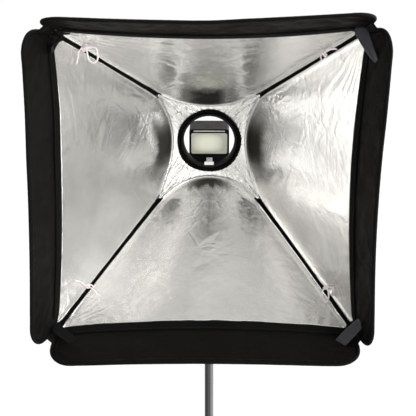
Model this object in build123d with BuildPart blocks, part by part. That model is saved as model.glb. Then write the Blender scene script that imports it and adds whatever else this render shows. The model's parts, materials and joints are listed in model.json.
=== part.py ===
from build123d import *
import os
from math import sqrt, sin, cos, radians, pi

# Folding 600 mm square softbox on a tilting bracket, lit by a battery flash, on the
# top tube of a light stand. Millimetres. +Z up, the softbox looks along -Y, and +X is
# the right-hand side seen from the front. Origin: centre of the stand tube's lower end;
# the tube's axis is the pan axis.
#
# Each piece is one function that returns its part; the end of the script saves them.

os.makedirs("parts", exist_ok=True)

# ------------------------------------------------------------------ main heights
AXIS_Z = 640.0  # softbox axis
TILT_Z = 478.0  # tilt pivot
CLAMP_Z = 441.0  # stand clamp screw and the spigot's groove


def at_x(x):
    """Plane across X: sketch x is +Y, sketch y is +Z, extrudes toward +X."""
    return Plane.YZ.offset(x)


def at_y(y):
    """Plane across Y: sketch x is +X, sketch y is +Z, extrudes toward -Y."""
    return Plane.XZ.offset(-y)


def at_z(z):
    """Level plane: extrudes toward +Z."""
    return Plane.XY.offset(z)


def save(part, name):
    part.label = name
    export_step(part, "parts/" + name + ".step")


# ------------------------------------------------------------------ softbox dimensions
# The side panels form a square frustum, measured at the hoop wires: at each station
# along Y, half the width of the square
BACK_Y, BACK_HALF = -97.0, 98.5
TAPE_Y, TAPE_HALF = -365.0, 266.0  # tape line, where the front lip begins
RIM_Y, RIM_HALF = -455.0, 296.6
TONGUE = 51.0  # how far the rounded rear end runs past the back corners, along the slope
TAPE_BOW = 12.8  # inward sag at mid side
RIM_BOW = 6.0
SEAM_GAP = 5.2  # hoop wire centre to the diagonal, across the panel

PANEL_T = 1.2
EDGE_IN = 5.0  # panel edge to hoop wire centre
LIP_T = 1.4
LIP_IN = 5.8  # lip edge to hoop wire centre
LIP_CORNER = 38.0
LIP_FLARE = 11.0  # widening of each half lip beside the tape line
LIP_FLARE_RUN = 45.0  # distance over which it widens
TAPE_T = 1.2
TAPE_DEPTH = 1.9  # tape's middle surface, inward from the lip surface
TAPE_REACH = 0.86  # share of the lip's length that the tape covers

WIRE_R = 1.3
BINDING_IN = 1.55
BINDING_OUT = 3.2
HOOP_SPANS = 64  # straight steps round a hoop
HOOP_LOFT = 8  # steps in each loft

STRAP_Y = TAPE_Y - 8.0
STRAP_WIDTH = 20.0
STRAP_T = 1.2  # inset of the inner side in each coordinate
STRAP_FAR, STRAP_NEAR = 261.5, 224.0  # the strap's end coordinates, out from the axis
CORD_R = 1.2
CORD_SPANS = 24
CORD_LOFT = 4
CORD_BACK = 62.0  # cord knot, back along the slope from the tape line

SLOPE_L = sqrt((TAPE_HALF - BACK_HALF) ** 2 + (TAPE_Y - BACK_Y) ** 2)
LIP_L = sqrt((RIM_HALF - TAPE_HALF) ** 2 + (RIM_Y - TAPE_Y) ** 2)
LIP_STRAIGHT = LIP_L - LIP_CORNER  # slope length of the lip's straight ends

SIDES = ["top", "right", "bottom", "left"]
# corner n lies between side n and the next one clockwise
CORNERS_OF = {"top": (3, 0), "bottom": (1, 2)}
ACROSS = [-1 + i / 8 for i in range(17)]  # surface points from edge to edge of a side

# speed ring and the hem round its collar
RING_FRONT = -55.0
RING_BACK = -35.0
RING_IN = 49.0
COLLAR_OUT = 53.4
FLANGE_OUT = 66.0
FLANGE_T = 3.0
HEM_IN = 53.8
HEM_OUT = 60.0


# ------------------------------------------------------------------ softbox geometry
def at_side(side, along, y, out):
    """Point along side number side (0 top, clockwise from the front), out from the axis."""
    turn = radians(90 * side)
    x = along * cos(turn) + out * sin(turn)
    return Vector(x, y, AXIS_Z - along * sin(turn) + out * cos(turn))


def on_slope(s):
    """y and distance out on the panel's plane, s along the slope from the back corners."""
    k = s / SLOPE_L
    return BACK_Y + (TAPE_Y - BACK_Y) * k, BACK_HALF + (TAPE_HALF - BACK_HALF) * k


def on_lip(s):
    """y and distance out on the lip's plane, s forward from the tape line."""
    k = s / LIP_L
    return TAPE_Y + (RIM_Y - TAPE_Y) * k, TAPE_HALF + (RIM_HALF - TAPE_HALF) * k


def rear_inset(u, inset):
    """An inset from the rounded rear end, measured along the slope."""
    return inset * sqrt(1 + (1.1 * u) ** 2)


def panel_point(side, u, v):
    """Side panel: u -1 to 1 across, v 0 at the rounded rear end to 1 at the tape line."""
    rear_s = -TONGUE * (1 - u * u) + rear_inset(u, EDGE_IN)
    rear_along = (BACK_HALF - SEAM_GAP - EDGE_IN) * u
    front_along = (TAPE_HALF - SEAM_GAP - EDGE_IN) * u
    y, out = on_slope(rear_s * (1 - v) + (SLOPE_L - 0.4) * v)
    out -= TAPE_BOW * (1 - u * u) * v
    return at_side(side, rear_along * (1 - v) + front_along * v, y, out)


def lip_half(s, inset=0.0):
    """Half length of the front lip, s forward from the tape line."""
    flare = TAPE_HALF - SEAM_GAP + LIP_FLARE * min(s, LIP_FLARE_RUN) / LIP_FLARE_RUN
    past = max(0.0, s - LIP_STRAIGHT)
    return flare - LIP_CORNER + sqrt(max(0.0, (LIP_CORNER - inset) ** 2 - past * past))


def lip_point(side, u, s, depth):
    """Front lip, s from the tape line toward the front wire, depth inward from its surface."""
    y, out = on_lip(s)
    out -= (TAPE_BOW + (RIM_BOW - TAPE_BOW) * s / LIP_L) * (1 - u * u) + depth
    # the ends draw in a little near the tape line
    half = lip_half(s, LIP_IN) - 2.6 / (1 + (s / 14.0) ** 2)
    return at_side(side, half * u, y, out)


def smooth_face(rows):
    return Face.make_surface_from_array_of_points(rows, tol=0.05, min_deg=3, max_deg=5)


def fabric(surfaces, thickness):
    """Thin solid sheets around surfaces, each given as rows of points."""
    with BuildPart() as sheets:
        for rows in surfaces:
            thicken(smooth_face(rows), amount=thickness / 2, both=True)
    return sheets.part


def hoop_points(side):
    """Closed path of one side panel's spring wire."""
    half = []  # (along, y, out) from the middle of the rear end round to the front edge
    for u in (0.0, 0.25, 0.5, 0.75, 0.93):
        half.append((u * (BACK_HALF - SEAM_GAP), *on_slope(-TONGUE * (1 - u * u))))
    for k in (0.07, 0.25, 0.5, 0.75, 0.95):
        y, out = on_slope(SLOPE_L * k)
        half.append((out - SEAM_GAP, y, out))
    for s in (9.0, 30.0, LIP_STRAIGHT):
        half.append((lip_half(s), *on_lip(s)))
    # rounded front corner
    flat = lip_half(LIP_L)
    for degrees in (25, 50, 75):
        y, out = on_lip(LIP_STRAIGHT + LIP_CORNER * sin(radians(degrees)))
        along = flat + LIP_CORNER * cos(radians(degrees))
        u = along / (flat + LIP_CORNER)
        half.append((along, y, out - RIM_BOW * (1 - u * u)))
    for u in (0.8, 0.5, 0.25):
        half.append((u * (flat + LIP_CORNER), RIM_Y, RIM_HALF - RIM_BOW * (1 - u * u)))
    middle = (0.0, RIM_Y, RIM_HALF - RIM_BOW)
    mirrored = [(-along, y, out) for along, y, out in reversed(half[1:])]
    return [at_side(side, *point) for point in half + [middle] + mirrored]


def cord_points(corner):
    """Inward direction and closed loop of elastic cord just inside one corner seam."""
    y, out = on_slope(SLOPE_L - CORD_BACK)
    knot = at_side(corner, out, y, out)
    to_axis = at_side(corner, 0, 0, 0) - at_side(corner, 0.53, 0, 0.53)
    inward = Vector(to_axis.X, -0.5, to_axis.Z).normalized()
    front = at_side(corner, TAPE_HALF, TAPE_Y, TAPE_HALF)
    back = at_side(corner, BACK_HALF, BACK_Y, BACK_HALF)
    along = (front - back).normalized()
    across = inward.cross(along).normalized()
    turns = [2 * pi * k / 10 for k in range(10)]
    points = [knot + inward * 11.0 + along * (13.0 * cos(t) - 6.0) + across * (5.5 * sin(t))
              for t in turns]
    return inward, points


def loop_planes(points, out, count):
    """Planes square to a closed smooth curve through points; the two ends nearly meet."""
    curve = Edge.make_spline(points, periodic=True)
    stops = [curve.position_at(0.0004 + 0.9992 * i / count) for i in range(count + 1)]
    planes = []
    for i, stop in enumerate(stops):
        ahead = (stops[min(i + 1, count)] - stops[max(i - 1, 0)]).normalized()
        planes.append(Plane(origin=stop, z_dir=ahead, x_dir=ahead.cross(out).normalized()))
    return planes


def round_loops(passes, steps):
    """Round bars lofted through planes, steps planes at a time.

    passes: (planes, radius, mode), in the order they are made.
    """
    with BuildPart() as loops:
        for planes, radius, mode in passes:
            for start in range(0, len(planes) - 1, steps):
                for plane in planes[start:start + steps + 1]:
                    with BuildSketch(plane):
                        Circle(radius)
                loft(mode=mode)
    return loops.part


# ------------------------------------------------------------------ softbox pieces
def side_panel(side):
    stations = (0, 0.2, 0.4, 0.6, 0.8, 1.0)
    return fabric([[[panel_point(side, u, v) for u in ACROSS] for v in stations]], PANEL_T)


def front_lip(side):
    # rows evenly spread along the straight ends, then round the front corners by angle
    stations = [1.2, 12.4, 23.6, 34.8, 46.0, LIP_STRAIGHT]
    stations += [LIP_STRAIGHT + (LIP_CORNER - LIP_IN) * sin(radians(degrees))
                 for degrees in (18, 36, 54, 72, 90)]
    outer = [[lip_point(side, u, s, -LIP_T / 2) for u in ACROSS] for s in stations]
    with BuildPart() as lip:
        add(Solid.thicken(smooth_face(outer), -LIP_T))
    return lip.part


def diffuser_tape(side):
    stations = (3, 8, 13, 18, 23)
    rows = [[lip_point(side, TAPE_REACH * u, s, TAPE_DEPTH) for u in ACROSS] for s in stations]
    return fabric([rows], TAPE_T)


def spring_hoop(planes):
    return round_loops([(planes, WIRE_R, Mode.ADD)], HOOP_LOFT)


def edge_binding(planes):
    """Tube of binding round the hoop wire."""
    return round_loops(
        [(planes, BINDING_OUT, Mode.ADD), (planes, BINDING_IN, Mode.SUBTRACT)], HOOP_LOFT)


def corner_straps(corners):
    """Flat straps across the corners, ends sewn to the two lips."""
    far, near = STRAP_FAR, STRAP_NEAR
    outline = ((near, far), (far, near),
               (far - STRAP_T, near - STRAP_T), (near - STRAP_T, far - STRAP_T))
    with BuildPart() as straps:
        for corner in corners:
            points = [at_side(corner, along, STRAP_Y, out) for along, out in outline]
            with BuildSketch(at_y(STRAP_Y)):
                with BuildLine():
                    Polyline(*[(point.X, point.Z) for point in points], close=True)
                make_face()
            extrude(amount=STRAP_WIDTH)
    return straps.part


def baffle_cords(corners):
    passes = []
    for corner in corners:
        inward, points = cord_points(corner)
        passes.append((loop_planes(points, inward, CORD_SPANS), CORD_R, Mode.ADD))
    return round_loops(passes, CORD_LOFT)


def rear_fabric():
    """Four gores from the hem to the panels' rounded ends."""
    hem_r = HEM_OUT + 0.5
    hem_y = RING_FRONT + 6.0
    gores = []
    for side in range(4):
        rows = []
        for w in (0.0, 0.25, 0.5, 0.75, 1.0):  # 0 at the hem, 1 at the panel
            row = []
            for u in ACROSS:
                turn = radians(45 * u)
                hem_along, hem_out = hem_r * sin(turn), hem_r * cos(turn)
                y, out = on_slope(-TONGUE * (1 - u * u) - rear_inset(u, 4.3))
                along = u * (BACK_HALF - SEAM_GAP + 0.6)
                row.append(at_side(side, hem_along + (along - hem_along) * w,
                                   hem_y + (y - hem_y) * w, hem_out + (out - hem_out) * w))
            rows.append(row)
        gores.append(rows)
    return fabric(gores, 1.0)


def collar_hem():
    """Elastic hem that grips the speed ring's collar."""
    with BuildPart() as hem:
        with BuildSketch(Plane.XY):
            with Locations(((HEM_IN + HEM_OUT) / 2, RING_FRONT + 6.5)):
                RectangleRounded(HEM_OUT - HEM_IN, 9.0, 1.8)
        revolve(axis=Axis.Y)
    with BuildPart() as placed:
        add(Pos(0, 0, AXIS_Z) * hem.part)
    return placed.part


# ------------------------------------------------------------------ speed ring, L bracket
ARM_TOP = 506.8
ARM_T = 3.0
ARM_BOT = ARM_TOP - ARM_T
ARM_HALF = 19.0
ARM_REAR = 84.0
RISER_Y = -32.0  # rear face of the upright that carries the ring
RISER_T = 2.8
RISER_TOP = AXIS_Z - 51.0
SLOT_W = 6.6
RING_SCREWS = [(x, AXIS_Z - 59.5) for x in (-13, 13)]  # (x, z)
RING_SCREW_R = 1.95
RING_SCREW_HOLE_R = 2.1


def speed_ring():
    depth = RING_BACK - RING_FRONT
    with BuildPart() as ring:
        for radius, length in ((FLANGE_OUT, FLANGE_T), (COLLAR_OUT, depth)):
            with BuildSketch(at_y(RING_BACK)):
                with Locations((0, AXIS_Z)):
                    Circle(radius)
            extrude(amount=length)
        with BuildSketch(at_y(RING_BACK)):
            with Locations((0, AXIS_Z)):
                Circle(RING_IN)
        extrude(amount=depth, mode=Mode.SUBTRACT)
        fillet(ring.edges().filter_by(GeomType.CIRCLE).sort_by(Axis.Y)[0:2], 1.0)
        # holes at the riser's screws
        with Locations(at_y(RING_BACK)):
            with Locations(*RING_SCREWS):
                Hole(RING_SCREW_HOLE_R, depth=60)
        # slots through the collar wall, one on each side
        with BuildSketch(Plane.YZ):
            with Locations((RING_FRONT + 13.0, AXIS_Z)):
                SlotOverall(6.0, 3.0)
        extrude(amount=70, both=True, mode=Mode.SUBTRACT)
    return ring.part


def hem_catch():
    """Spring catch riveted inside the bottom of the collar."""
    z = AXIS_Z - RING_IN + 0.9
    half_width = 9
    profile = ((-53, z), (-40, z), (-40, z + 1.4), (-49.5, z + 1.4), (-51, z + 6.5),
               (-52.6, z + 6.5))  # (y, z)
    with BuildPart() as catch:
        with BuildSketch(at_x(-half_width)):
            with BuildLine():
                Polyline(*profile, close=True)
            make_face()
        extrude(amount=2 * half_width)
        fillet(catch.edges().filter_by(Axis.X).sort_by(Axis.Z)[-2:], 0.5)
        # its rivet
        with BuildSketch(at_z(z + 1.3)):
            with Locations((0, -44.5)):
                Circle(3.2)
        extrude(amount=1.8)
    return catch.part


def l_bracket():
    riser_front = RISER_Y - RISER_T
    with BuildPart() as arm:
        with BuildSketch(at_z(ARM_BOT)) as arm_plan:
            with BuildLine():
                Polyline((-ARM_HALF, riser_front), (ARM_HALF, riser_front),
                         (ARM_HALF, ARM_REAR), (-ARM_HALF, ARM_REAR), close=True)
            make_face()
            fillet(arm_plan.vertices().sort_by(Axis.Y)[-2:], 12)
            with Locations((0, 46)):
                SlotOverall(56, SLOT_W, rotation=90, mode=Mode.SUBTRACT)
            with Locations((0, 0)):
                Circle(SLOT_W / 2, mode=Mode.SUBTRACT)
        extrude(amount=ARM_T)
        # upright that carries the ring, hollowed round the collar
        with BuildSketch(at_y(RISER_Y)):
            with BuildLine():
                Polyline((-ARM_HALF, ARM_BOT), (ARM_HALF, ARM_BOT), (ARM_HALF, RISER_TOP),
                         (-ARM_HALF, RISER_TOP), close=True)
            make_face()
            with Locations((0, AXIS_Z)):
                Circle(COLLAR_OUT + 0.6, mode=Mode.SUBTRACT)
            with Locations(*RING_SCREWS):
                Circle(RING_SCREW_HOLE_R, mode=Mode.SUBTRACT)
            with Locations((0, ARM_TOP + 34)):
                SlotOverall(30, SLOT_W, rotation=90, mode=Mode.SUBTRACT)
        extrude(amount=RISER_T)
        # inside of the bend, then outside
        fillet(
            arm.edges().filter_by(Axis.X)
            .filter_by_position(Axis.Z, ARM_TOP - 0.1, ARM_TOP + 0.1)
            .filter_by_position(Axis.Y, RISER_Y - 0.1, RISER_Y + 0.1), 3.0)
        fillet(
            arm.edges().filter_by(Axis.X)
            .filter_by_position(Axis.Z, ARM_BOT - 0.1, ARM_BOT + 0.1)
            .sort_by(Axis.Y)[0], 4.0)
    return arm.part


def ring_screws():
    with BuildPart() as screws:
        for place in RING_SCREWS:
            # head behind the riser, shank forward through it, nut in front of the flange
            for radius, length in ((3.8, -2.6), (RING_SCREW_R, 9.0)):
                with BuildSketch(at_y(RISER_Y)):
                    with Locations(place):
                        Circle(radius)
                extrude(amount=length)
            with BuildSketch(at_y(RING_BACK - FLANGE_T - 0.1)):
                with Locations(place):
                    RegularPolygon(3.4, 6)
                    Circle(RING_SCREW_R, mode=Mode.SUBTRACT)
            extrude(amount=2.4)
    return screws.part


# ------------------------------------------------------------------ stand and tilt head
TUBE_R = 9.5
TUBE_WALL = 1.3
TUBE_TOP = 424.0
SPIGOT_R = 7.95  # 5/8 inch standard
SPIGOT_TOP = 460.0
SPIGOT_PLUG = 34.0  # length inside the tube
SOCKET_BORE_R = 8.0
SOCKET_BOT = TUBE_TOP + 2.2
SOCKET_TOP = 462.5
EAR_R = 12.5
EAR_HALF = 16.6  # outer faces of the ears
EAR_GAP_HALF = 8.4  # inner faces
PIVOT_HOLE_R = 4.1
PLATE_TOP = ARM_BOT - 0.2  # tilt head's plate, under the arm
PLATE_T = 6.0


def tilt_head():
    plate_bot = PLATE_TOP - PLATE_T
    post_top = plate_bot + 1.0
    post_half = 8.0
    with BuildPart() as head:
        with BuildSketch(at_z(plate_bot)):
            RectangleRounded(36, 40, 5)
        extrude(amount=PLATE_T)
        chamfer(head.faces().sort_by(Axis.Z)[0].edges(), 1.0)
        # round-ended post between the socket's ears
        with BuildSketch(at_x(-post_half)):
            with BuildLine():
                Polyline((-EAR_R, post_top), (EAR_R, post_top), (EAR_R, TILT_Z),
                         (-EAR_R, TILT_Z), close=True)
            make_face()
            with Locations((0, TILT_Z)):
                Circle(EAR_R)
        extrude(amount=2 * post_half)
        with Locations(at_x(20)):
            with Locations((0, TILT_Z)):
                Hole(PIVOT_HOLE_R, depth=60)
        with Locations(at_z(PLATE_TOP)):
            Hole(2.6, depth=9)
    return head.part


def arm_screw():
    """Socket-headed screw down through the arm into the tilt head."""
    seat = ARM_TOP + 0.1
    head_height = 2.6
    with BuildPart() as screw:
        with BuildSketch(at_z(seat)):
            Circle(5.6)
        extrude(amount=head_height)
        fillet(screw.edges().sort_by(Axis.Z)[-1], 1.0)
        with BuildSketch(at_z(seat + head_height)):
            RegularPolygon(2.3, 6)
        extrude(amount=-1.6, mode=Mode.SUBTRACT)
        with BuildSketch(at_z(seat)):
            Circle(2.5)
        extrude(amount=-11.0)
    return screw.part


def stand_socket():
    with BuildPart() as socket:
        with BuildSketch(at_z(SOCKET_BOT)):
            Circle(15.0)
        extrude(amount=SOCKET_TOP - SOCKET_BOT)
        fillet(socket.faces().sort_by(Axis.Z)[0].edges(), 1.6)
        # ears, made as one block and then parted
        with BuildSketch(at_x(-EAR_HALF)):
            with BuildLine():
                Polyline((-EAR_R, 450), (EAR_R, 450), (EAR_R, TILT_Z), (-EAR_R, TILT_Z),
                         close=True)
            make_face()
            with Locations((0, TILT_Z)):
                Circle(EAR_R)
        extrude(amount=2 * EAR_HALF)
        with BuildSketch(at_x(-EAR_GAP_HALF)):
            with BuildLine():
                Polyline((-20, SOCKET_TOP), (20, SOCKET_TOP), (20, 500), (-20, 500), close=True)
            make_face()
        extrude(amount=2 * EAR_GAP_HALF, mode=Mode.SUBTRACT)
        # boss for the clamp screw
        with BuildSketch(at_x(-21)):
            with Locations((0, CLAMP_Z)):
                Circle(7.5)
        extrude(amount=12)
        # bore for the spigot
        with BuildSketch(at_z(SOCKET_BOT)):
            Circle(SOCKET_BORE_R)
        extrude(amount=34.6, mode=Mode.SUBTRACT)
        # clamp screw hole, then pivot hole: (start x, z, radius, length)
        for x, z, radius, length in ((-22, CLAMP_Z, 3.1, 20), (-20, TILT_Z, PIVOT_HOLE_R, 40)):
            with BuildSketch(at_x(x)):
                with Locations((0, z)):
                    Circle(radius)
            extrude(amount=length, mode=Mode.SUBTRACT)
    return socket.part


def tilt_pivot_bolt():
    with BuildPart() as bolt:
        with BuildSketch(at_x(-20.8)):
            with Locations((0, TILT_Z)):
                RegularPolygon(7.5, 6)
        extrude(amount=4.0)
        with BuildSketch(at_x(-17.0)):
            with Locations((0, TILT_Z)):
                Circle(4.02)
        extrude(amount=37.0)
    return bolt.part


def tilt_lever():
    hub_x = 18.3
    with BuildPart() as lever:
        with BuildSketch(at_x(hub_x)):
            with Locations((0, TILT_Z)):
                Circle(9.5)
        extrude(amount=12.0)
        fillet(lever.edges().sort_by(Axis.X)[-1], 1.5)
        # tapering handle, hanging down
        with BuildSketch(at_x(hub_x + 4.0)):
            with Locations((0, TILT_Z)):
                Circle(6.5)
            with Locations((5, TILT_Z - 56)):
                Circle(5.0)
            make_hull()
        extrude(amount=6.5)
        # recess for the bolt's end
        with BuildSketch(at_x(hub_x)):
            with Locations((0, TILT_Z)):
                Circle(4.2)
        extrude(amount=2.2, mode=Mode.SUBTRACT)
    return lever.part


def stand_clamp_knob():
    """Five-lobed clamp knob and its screw."""
    with BuildPart() as knob:
        with BuildSketch(at_x(-36.0)):
            with Locations((0, CLAMP_Z)):
                Circle(11.0)
                with PolarLocations(11.5, 5):
                    Circle(3.6)
        extrude(amount=12.0)
        fillet(knob.faces().sort_by(Axis.X)[0].edges(), 1.2)
        # collar, then screw: (start x, radius, length)
        for x, radius, length in ((-24.0, 6.0, 2.6), (-21.4, 3.04, 13.2)):
            with BuildSketch(at_x(x)):
                with Locations((0, CLAMP_Z)):
                    Circle(radius)
            extrude(amount=length)
    return knob.part


def stand_tube():
    with BuildPart() as tube:
        with BuildSketch(Plane.XY):
            Circle(TUBE_R)
            Circle(TUBE_R - TUBE_WALL, mode=Mode.SUBTRACT)
        extrude(amount=TUBE_TOP)
    return tube.part


def stand_spigot():
    # plug in the tube, shoulder on its end, spigot: (base z, radius, length)
    stages = ((TUBE_TOP - SPIGOT_PLUG, TUBE_R - TUBE_WALL - 0.05, SPIGOT_PLUG),
              (TUBE_TOP + 0.05, TUBE_R, 2.0),
              (TUBE_TOP, SPIGOT_R, SPIGOT_TOP - TUBE_TOP))
    with BuildPart() as spigot:
        for z, radius, length in stages:
            with BuildSketch(at_z(z)):
                Circle(radius)
            extrude(amount=length)
        # groove at the clamp screw
        with BuildSketch(Plane.XZ):
            with Locations((8.2, CLAMP_Z)):
                Rectangle(2.4, 9)
        revolve(axis=Axis.Z, mode=Mode.SUBTRACT)
        chamfer(spigot.edges().sort_by(Axis.Z)[-1], 1.2)
    return spigot.part


# ------------------------------------------------------------------ cold shoe
SHOE_Y = 45.0
SHOE_BOT = ARM_TOP + 0.2
CHANNEL_FLOOR = SHOE_BOT + 3.3


def cold_shoe():
    lip_z = 512.75  # underside of the channel's lips
    above = 515
    channel = ((-9.5, CHANNEL_FLOOR), (9.5, CHANNEL_FLOOR), (9.5, lip_z), (6.6, lip_z),
               (6.6, above), (-6.6, above), (-6.6, lip_z), (-9.5, lip_z))  # (x, z)
    with BuildPart() as shoe:
        with BuildSketch(at_z(SHOE_BOT)):
            with Locations((0, SHOE_Y)):
                RectangleRounded(26, 27, 2)
        extrude(amount=7.1)
        # channel for the flash foot, open to the rear
        with BuildSketch(at_y(SHOE_Y - 11)):
            with BuildLine():
                Polyline(*channel, close=True)
            make_face()
        extrude(amount=-30, mode=Mode.SUBTRACT)
        # screw hole
        with BuildSketch(at_z(SHOE_BOT)):
            with Locations((0, SHOE_Y)):
                Circle(3.0)
        extrude(amount=2.0, mode=Mode.SUBTRACT)
    return shoe.part


def shoe_thumb_screw():
    with BuildPart() as screw:
        with BuildSketch(at_z(490.0)):
            with Locations((0, SHOE_Y)):
                Circle(9.0)
                with PolarLocations(9.4, 8):
                    Circle(1.6, mode=Mode.SUBTRACT)
        extrude(amount=10.5)
        fillet(screw.faces().sort_by(Axis.Z)[0].edges(), 0.8)
        # collar, then screw: (base z, radius, length)
        for z, radius, length in ((500.5, 7.5, 2.9), (503.0, 2.92, 5.9)):
            with BuildSketch(at_z(z)):
                with Locations((0, SHOE_Y)):
                    Circle(radius)
            extrude(amount=length)
    return screw.part


# ------------------------------------------------------------------ flash body
BODY_TOP = AXIS_Z - 47.0
BODY_BOT = AXIS_Z - 119.0
BODY_DEPTH = 56.0
BODY_FRONT = SHOE_Y - BODY_DEPTH / 2
BODY_REAR = SHOE_Y + BODY_DEPTH / 2
BODY_HALF_W = 36.5
BODY_WALL = 2.6  # side walls; the top and bottom are END_WALL
END_WALL = 2.4

DOOR_Z = BODY_BOT + 34
DOOR_W, DOOR_H = 38, 54
DISPLAY_Z = BODY_BOT + 54
DISPLAY_W, DISPLAY_H = 46, 24
BUTTON_Z = BODY_BOT + 30
BUTTON_X = {"mode": -18, "zoom": 0, "test": 18}
BUTTON_W, BUTTON_H = 9.2, 5.2
DIAL_Z = BODY_BOT + 14  # the power switch is level with the dial
DIAL_R = 9.2
SWITCH_X = -25.2
SENSOR_Z = BODY_TOP - 9.5
SENSOR_W, SENSOR_H = 12.0, 11.0
LAMP_Z = BODY_TOP - 34
LAMP_W, LAMP_H = 44, 22
WINDOW_FIT = 0.4  # recess or button hole larger than what sits in it
CELLS = [(11.4, 32), (11.4, 58), (26.1, 32), (26.1, 58)]  # (x, y)


def flash_body():
    with BuildPart() as body:
        with BuildSketch(at_z(BODY_BOT)):
            with Locations((0, SHOE_Y)):
                RectangleRounded(2 * BODY_HALF_W, BODY_DEPTH, 9)
        extrude(amount=BODY_TOP - BODY_BOT)
        fillet(body.faces().sort_by(Axis.Z)[-1].edges(), 3.0)
        fillet(body.faces().sort_by(Axis.Z)[0].edges(), 3.0)
        # hollow inside
        with BuildSketch(at_z(BODY_BOT + END_WALL)):
            with Locations((0, SHOE_Y)):
                RectangleRounded(2 * (BODY_HALF_W - BODY_WALL), BODY_DEPTH - 2 * BODY_WALL, 6.5)
        extrude(amount=BODY_TOP - BODY_BOT - 2 * END_WALL, mode=Mode.SUBTRACT)
        # battery door opening on the +X side
        with BuildSketch(at_x(BODY_HALF_W - 3.5)):
            with Locations((SHOE_Y, DOOR_Z)):
                RectangleRounded(DOOR_W + 0.6, DOOR_H + 0.6, 3)
        extrude(amount=5, mode=Mode.SUBTRACT)
        # display recess and control holes on the rear
        with BuildSketch(at_y(BODY_REAR)):
            with Locations((0, DISPLAY_Z)):
                RectangleRounded(DISPLAY_W + WINDOW_FIT, DISPLAY_H + WINDOW_FIT, 2)
        extrude(amount=1.4, mode=Mode.SUBTRACT)
        with BuildSketch(at_y(BODY_REAR)):
            with Locations(*[(x, BUTTON_Z) for x in BUTTON_X.values()]):
                RectangleRounded(BUTTON_W + WINDOW_FIT, BUTTON_H + WINDOW_FIT, 2)
            with Locations((0, DIAL_Z)):
                Circle(DIAL_R + 0.1)
            with Locations((-23, DIAL_Z)):
                SlotOverall(13, 5.4)
        extrude(amount=6, mode=Mode.SUBTRACT)
        # front window recesses
        with BuildSketch(at_y(BODY_FRONT)):
            with Locations((0, SENSOR_Z)):
                RectangleRounded(SENSOR_W + WINDOW_FIT, SENSOR_H + WINDOW_FIT, 1)
            with Locations((0, LAMP_Z)):
                RectangleRounded(LAMP_W + WINDOW_FIT, LAMP_H + WINDOW_FIT, 3)
        extrude(amount=-1.6, mode=Mode.SUBTRACT)
        # swivel bearing, then foot hole: (base z, radius, length)
        for z, radius, length in ((BODY_TOP - 4, 14.05, 8), (BODY_BOT - 1, 6.15, 6)):
            with BuildSketch(at_z(z)):
                with Locations((0, SHOE_Y)):
                    Circle(radius)
            extrude(amount=length, mode=Mode.SUBTRACT)
    return body.part


def sensor_window():
    with BuildPart() as sensor:
        with BuildSketch(at_y(BODY_FRONT + 1.5)):
            with Locations((0, SENSOR_Z)):
                RectangleRounded(SENSOR_W, SENSOR_H, 0.9)
        extrude(amount=2.2)
    return sensor.part


def focus_lamp_window():
    with BuildPart() as lamp:
        with BuildSketch(at_y(BODY_FRONT + 1.5)):
            with Locations((0, LAMP_Z)):
                RectangleRounded(LAMP_W, LAMP_H, 2.8)
        extrude(amount=2.4)
        fillet(lamp.faces().sort_by(Axis.Y)[0].edges(), 0.8)
    return lamp.part


def display_window():
    with BuildPart() as display:
        with BuildSketch(at_y(BODY_REAR - 1.3)):
            with Locations((0, DISPLAY_Z)):
                RectangleRounded(DISPLAY_W, DISPLAY_H, 1.8)
        extrude(amount=-1.5)
    return display.part


def control_button(x):
    with BuildPart() as button:
        with BuildSketch(at_y(BODY_REAR - 2.2)):
            with Locations((x, BUTTON_Z)):
                RectangleRounded(BUTTON_W, BUTTON_H, 1.8)
        extrude(amount=-3.6)
        fillet(button.faces().sort_by(Axis.Y)[-1].edges(), 0.6)
    return button.part


def select_dial():
    """Dial with a notched edge and a dished middle."""
    with BuildPart() as dial:
        with BuildSketch(at_y(BODY_REAR - 2.0)):
            with Locations((0, DIAL_Z)):
                Circle(DIAL_R)
                with PolarLocations(9.6, 20):
                    Circle(0.7, mode=Mode.SUBTRACT)
        extrude(amount=-4.4)
        with BuildSketch(at_y(BODY_REAR + 2.4)):
            with Locations((0, DIAL_Z)):
                Circle(4.6)
        extrude(amount=1.0, mode=Mode.SUBTRACT)
        fillet(dial.edges().filter_by(GeomType.CIRCLE).sort_by(Axis.Y)[-1], 0.3)
    return dial.part


def power_switch():
    with BuildPart() as switch:
        with BuildSketch(at_y(BODY_REAR - 2.0)):
            with Locations((SWITCH_X, DIAL_Z)):
                SlotOverall(8, 5.0)
        extrude(amount=-3.2)
        # raised rib
        with BuildSketch(at_y(BODY_REAR + 1.2)):
            with Locations((SWITCH_X, DIAL_Z)):
                Rectangle(1.2, 3.6)
        extrude(amount=-0.8)
    return switch.part


def battery_door():
    with BuildPart() as door:
        with BuildSketch(at_x(BODY_HALF_W - 2.2)):
            with Locations((SHOE_Y, DOOR_Z)):
                RectangleRounded(DOOR_W, DOOR_H, 2.8)
        extrude(amount=2.6)
        # six raised ribs
        with BuildSketch(at_x(BODY_HALF_W + 0.4)):
            with Locations(*[(SHOE_Y - 10, BODY_BOT + 24 + 4 * k) for k in range(6)]):
                Rectangle(10, 1.4)
        extrude(amount=0.7)
    return door.part


def battery_cells():
    base = BODY_BOT + 8
    length = 49.0
    with BuildPart() as cells:
        # cans, then end buttons: (base z, radius, length)
        for z, radius, height in ((base, 7.1, length), (base + length, 2.6, 1.3)):
            with BuildSketch(at_z(z)):
                with Locations(*CELLS):
                    Circle(radius)
            extrude(amount=height)
    return cells.part


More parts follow.
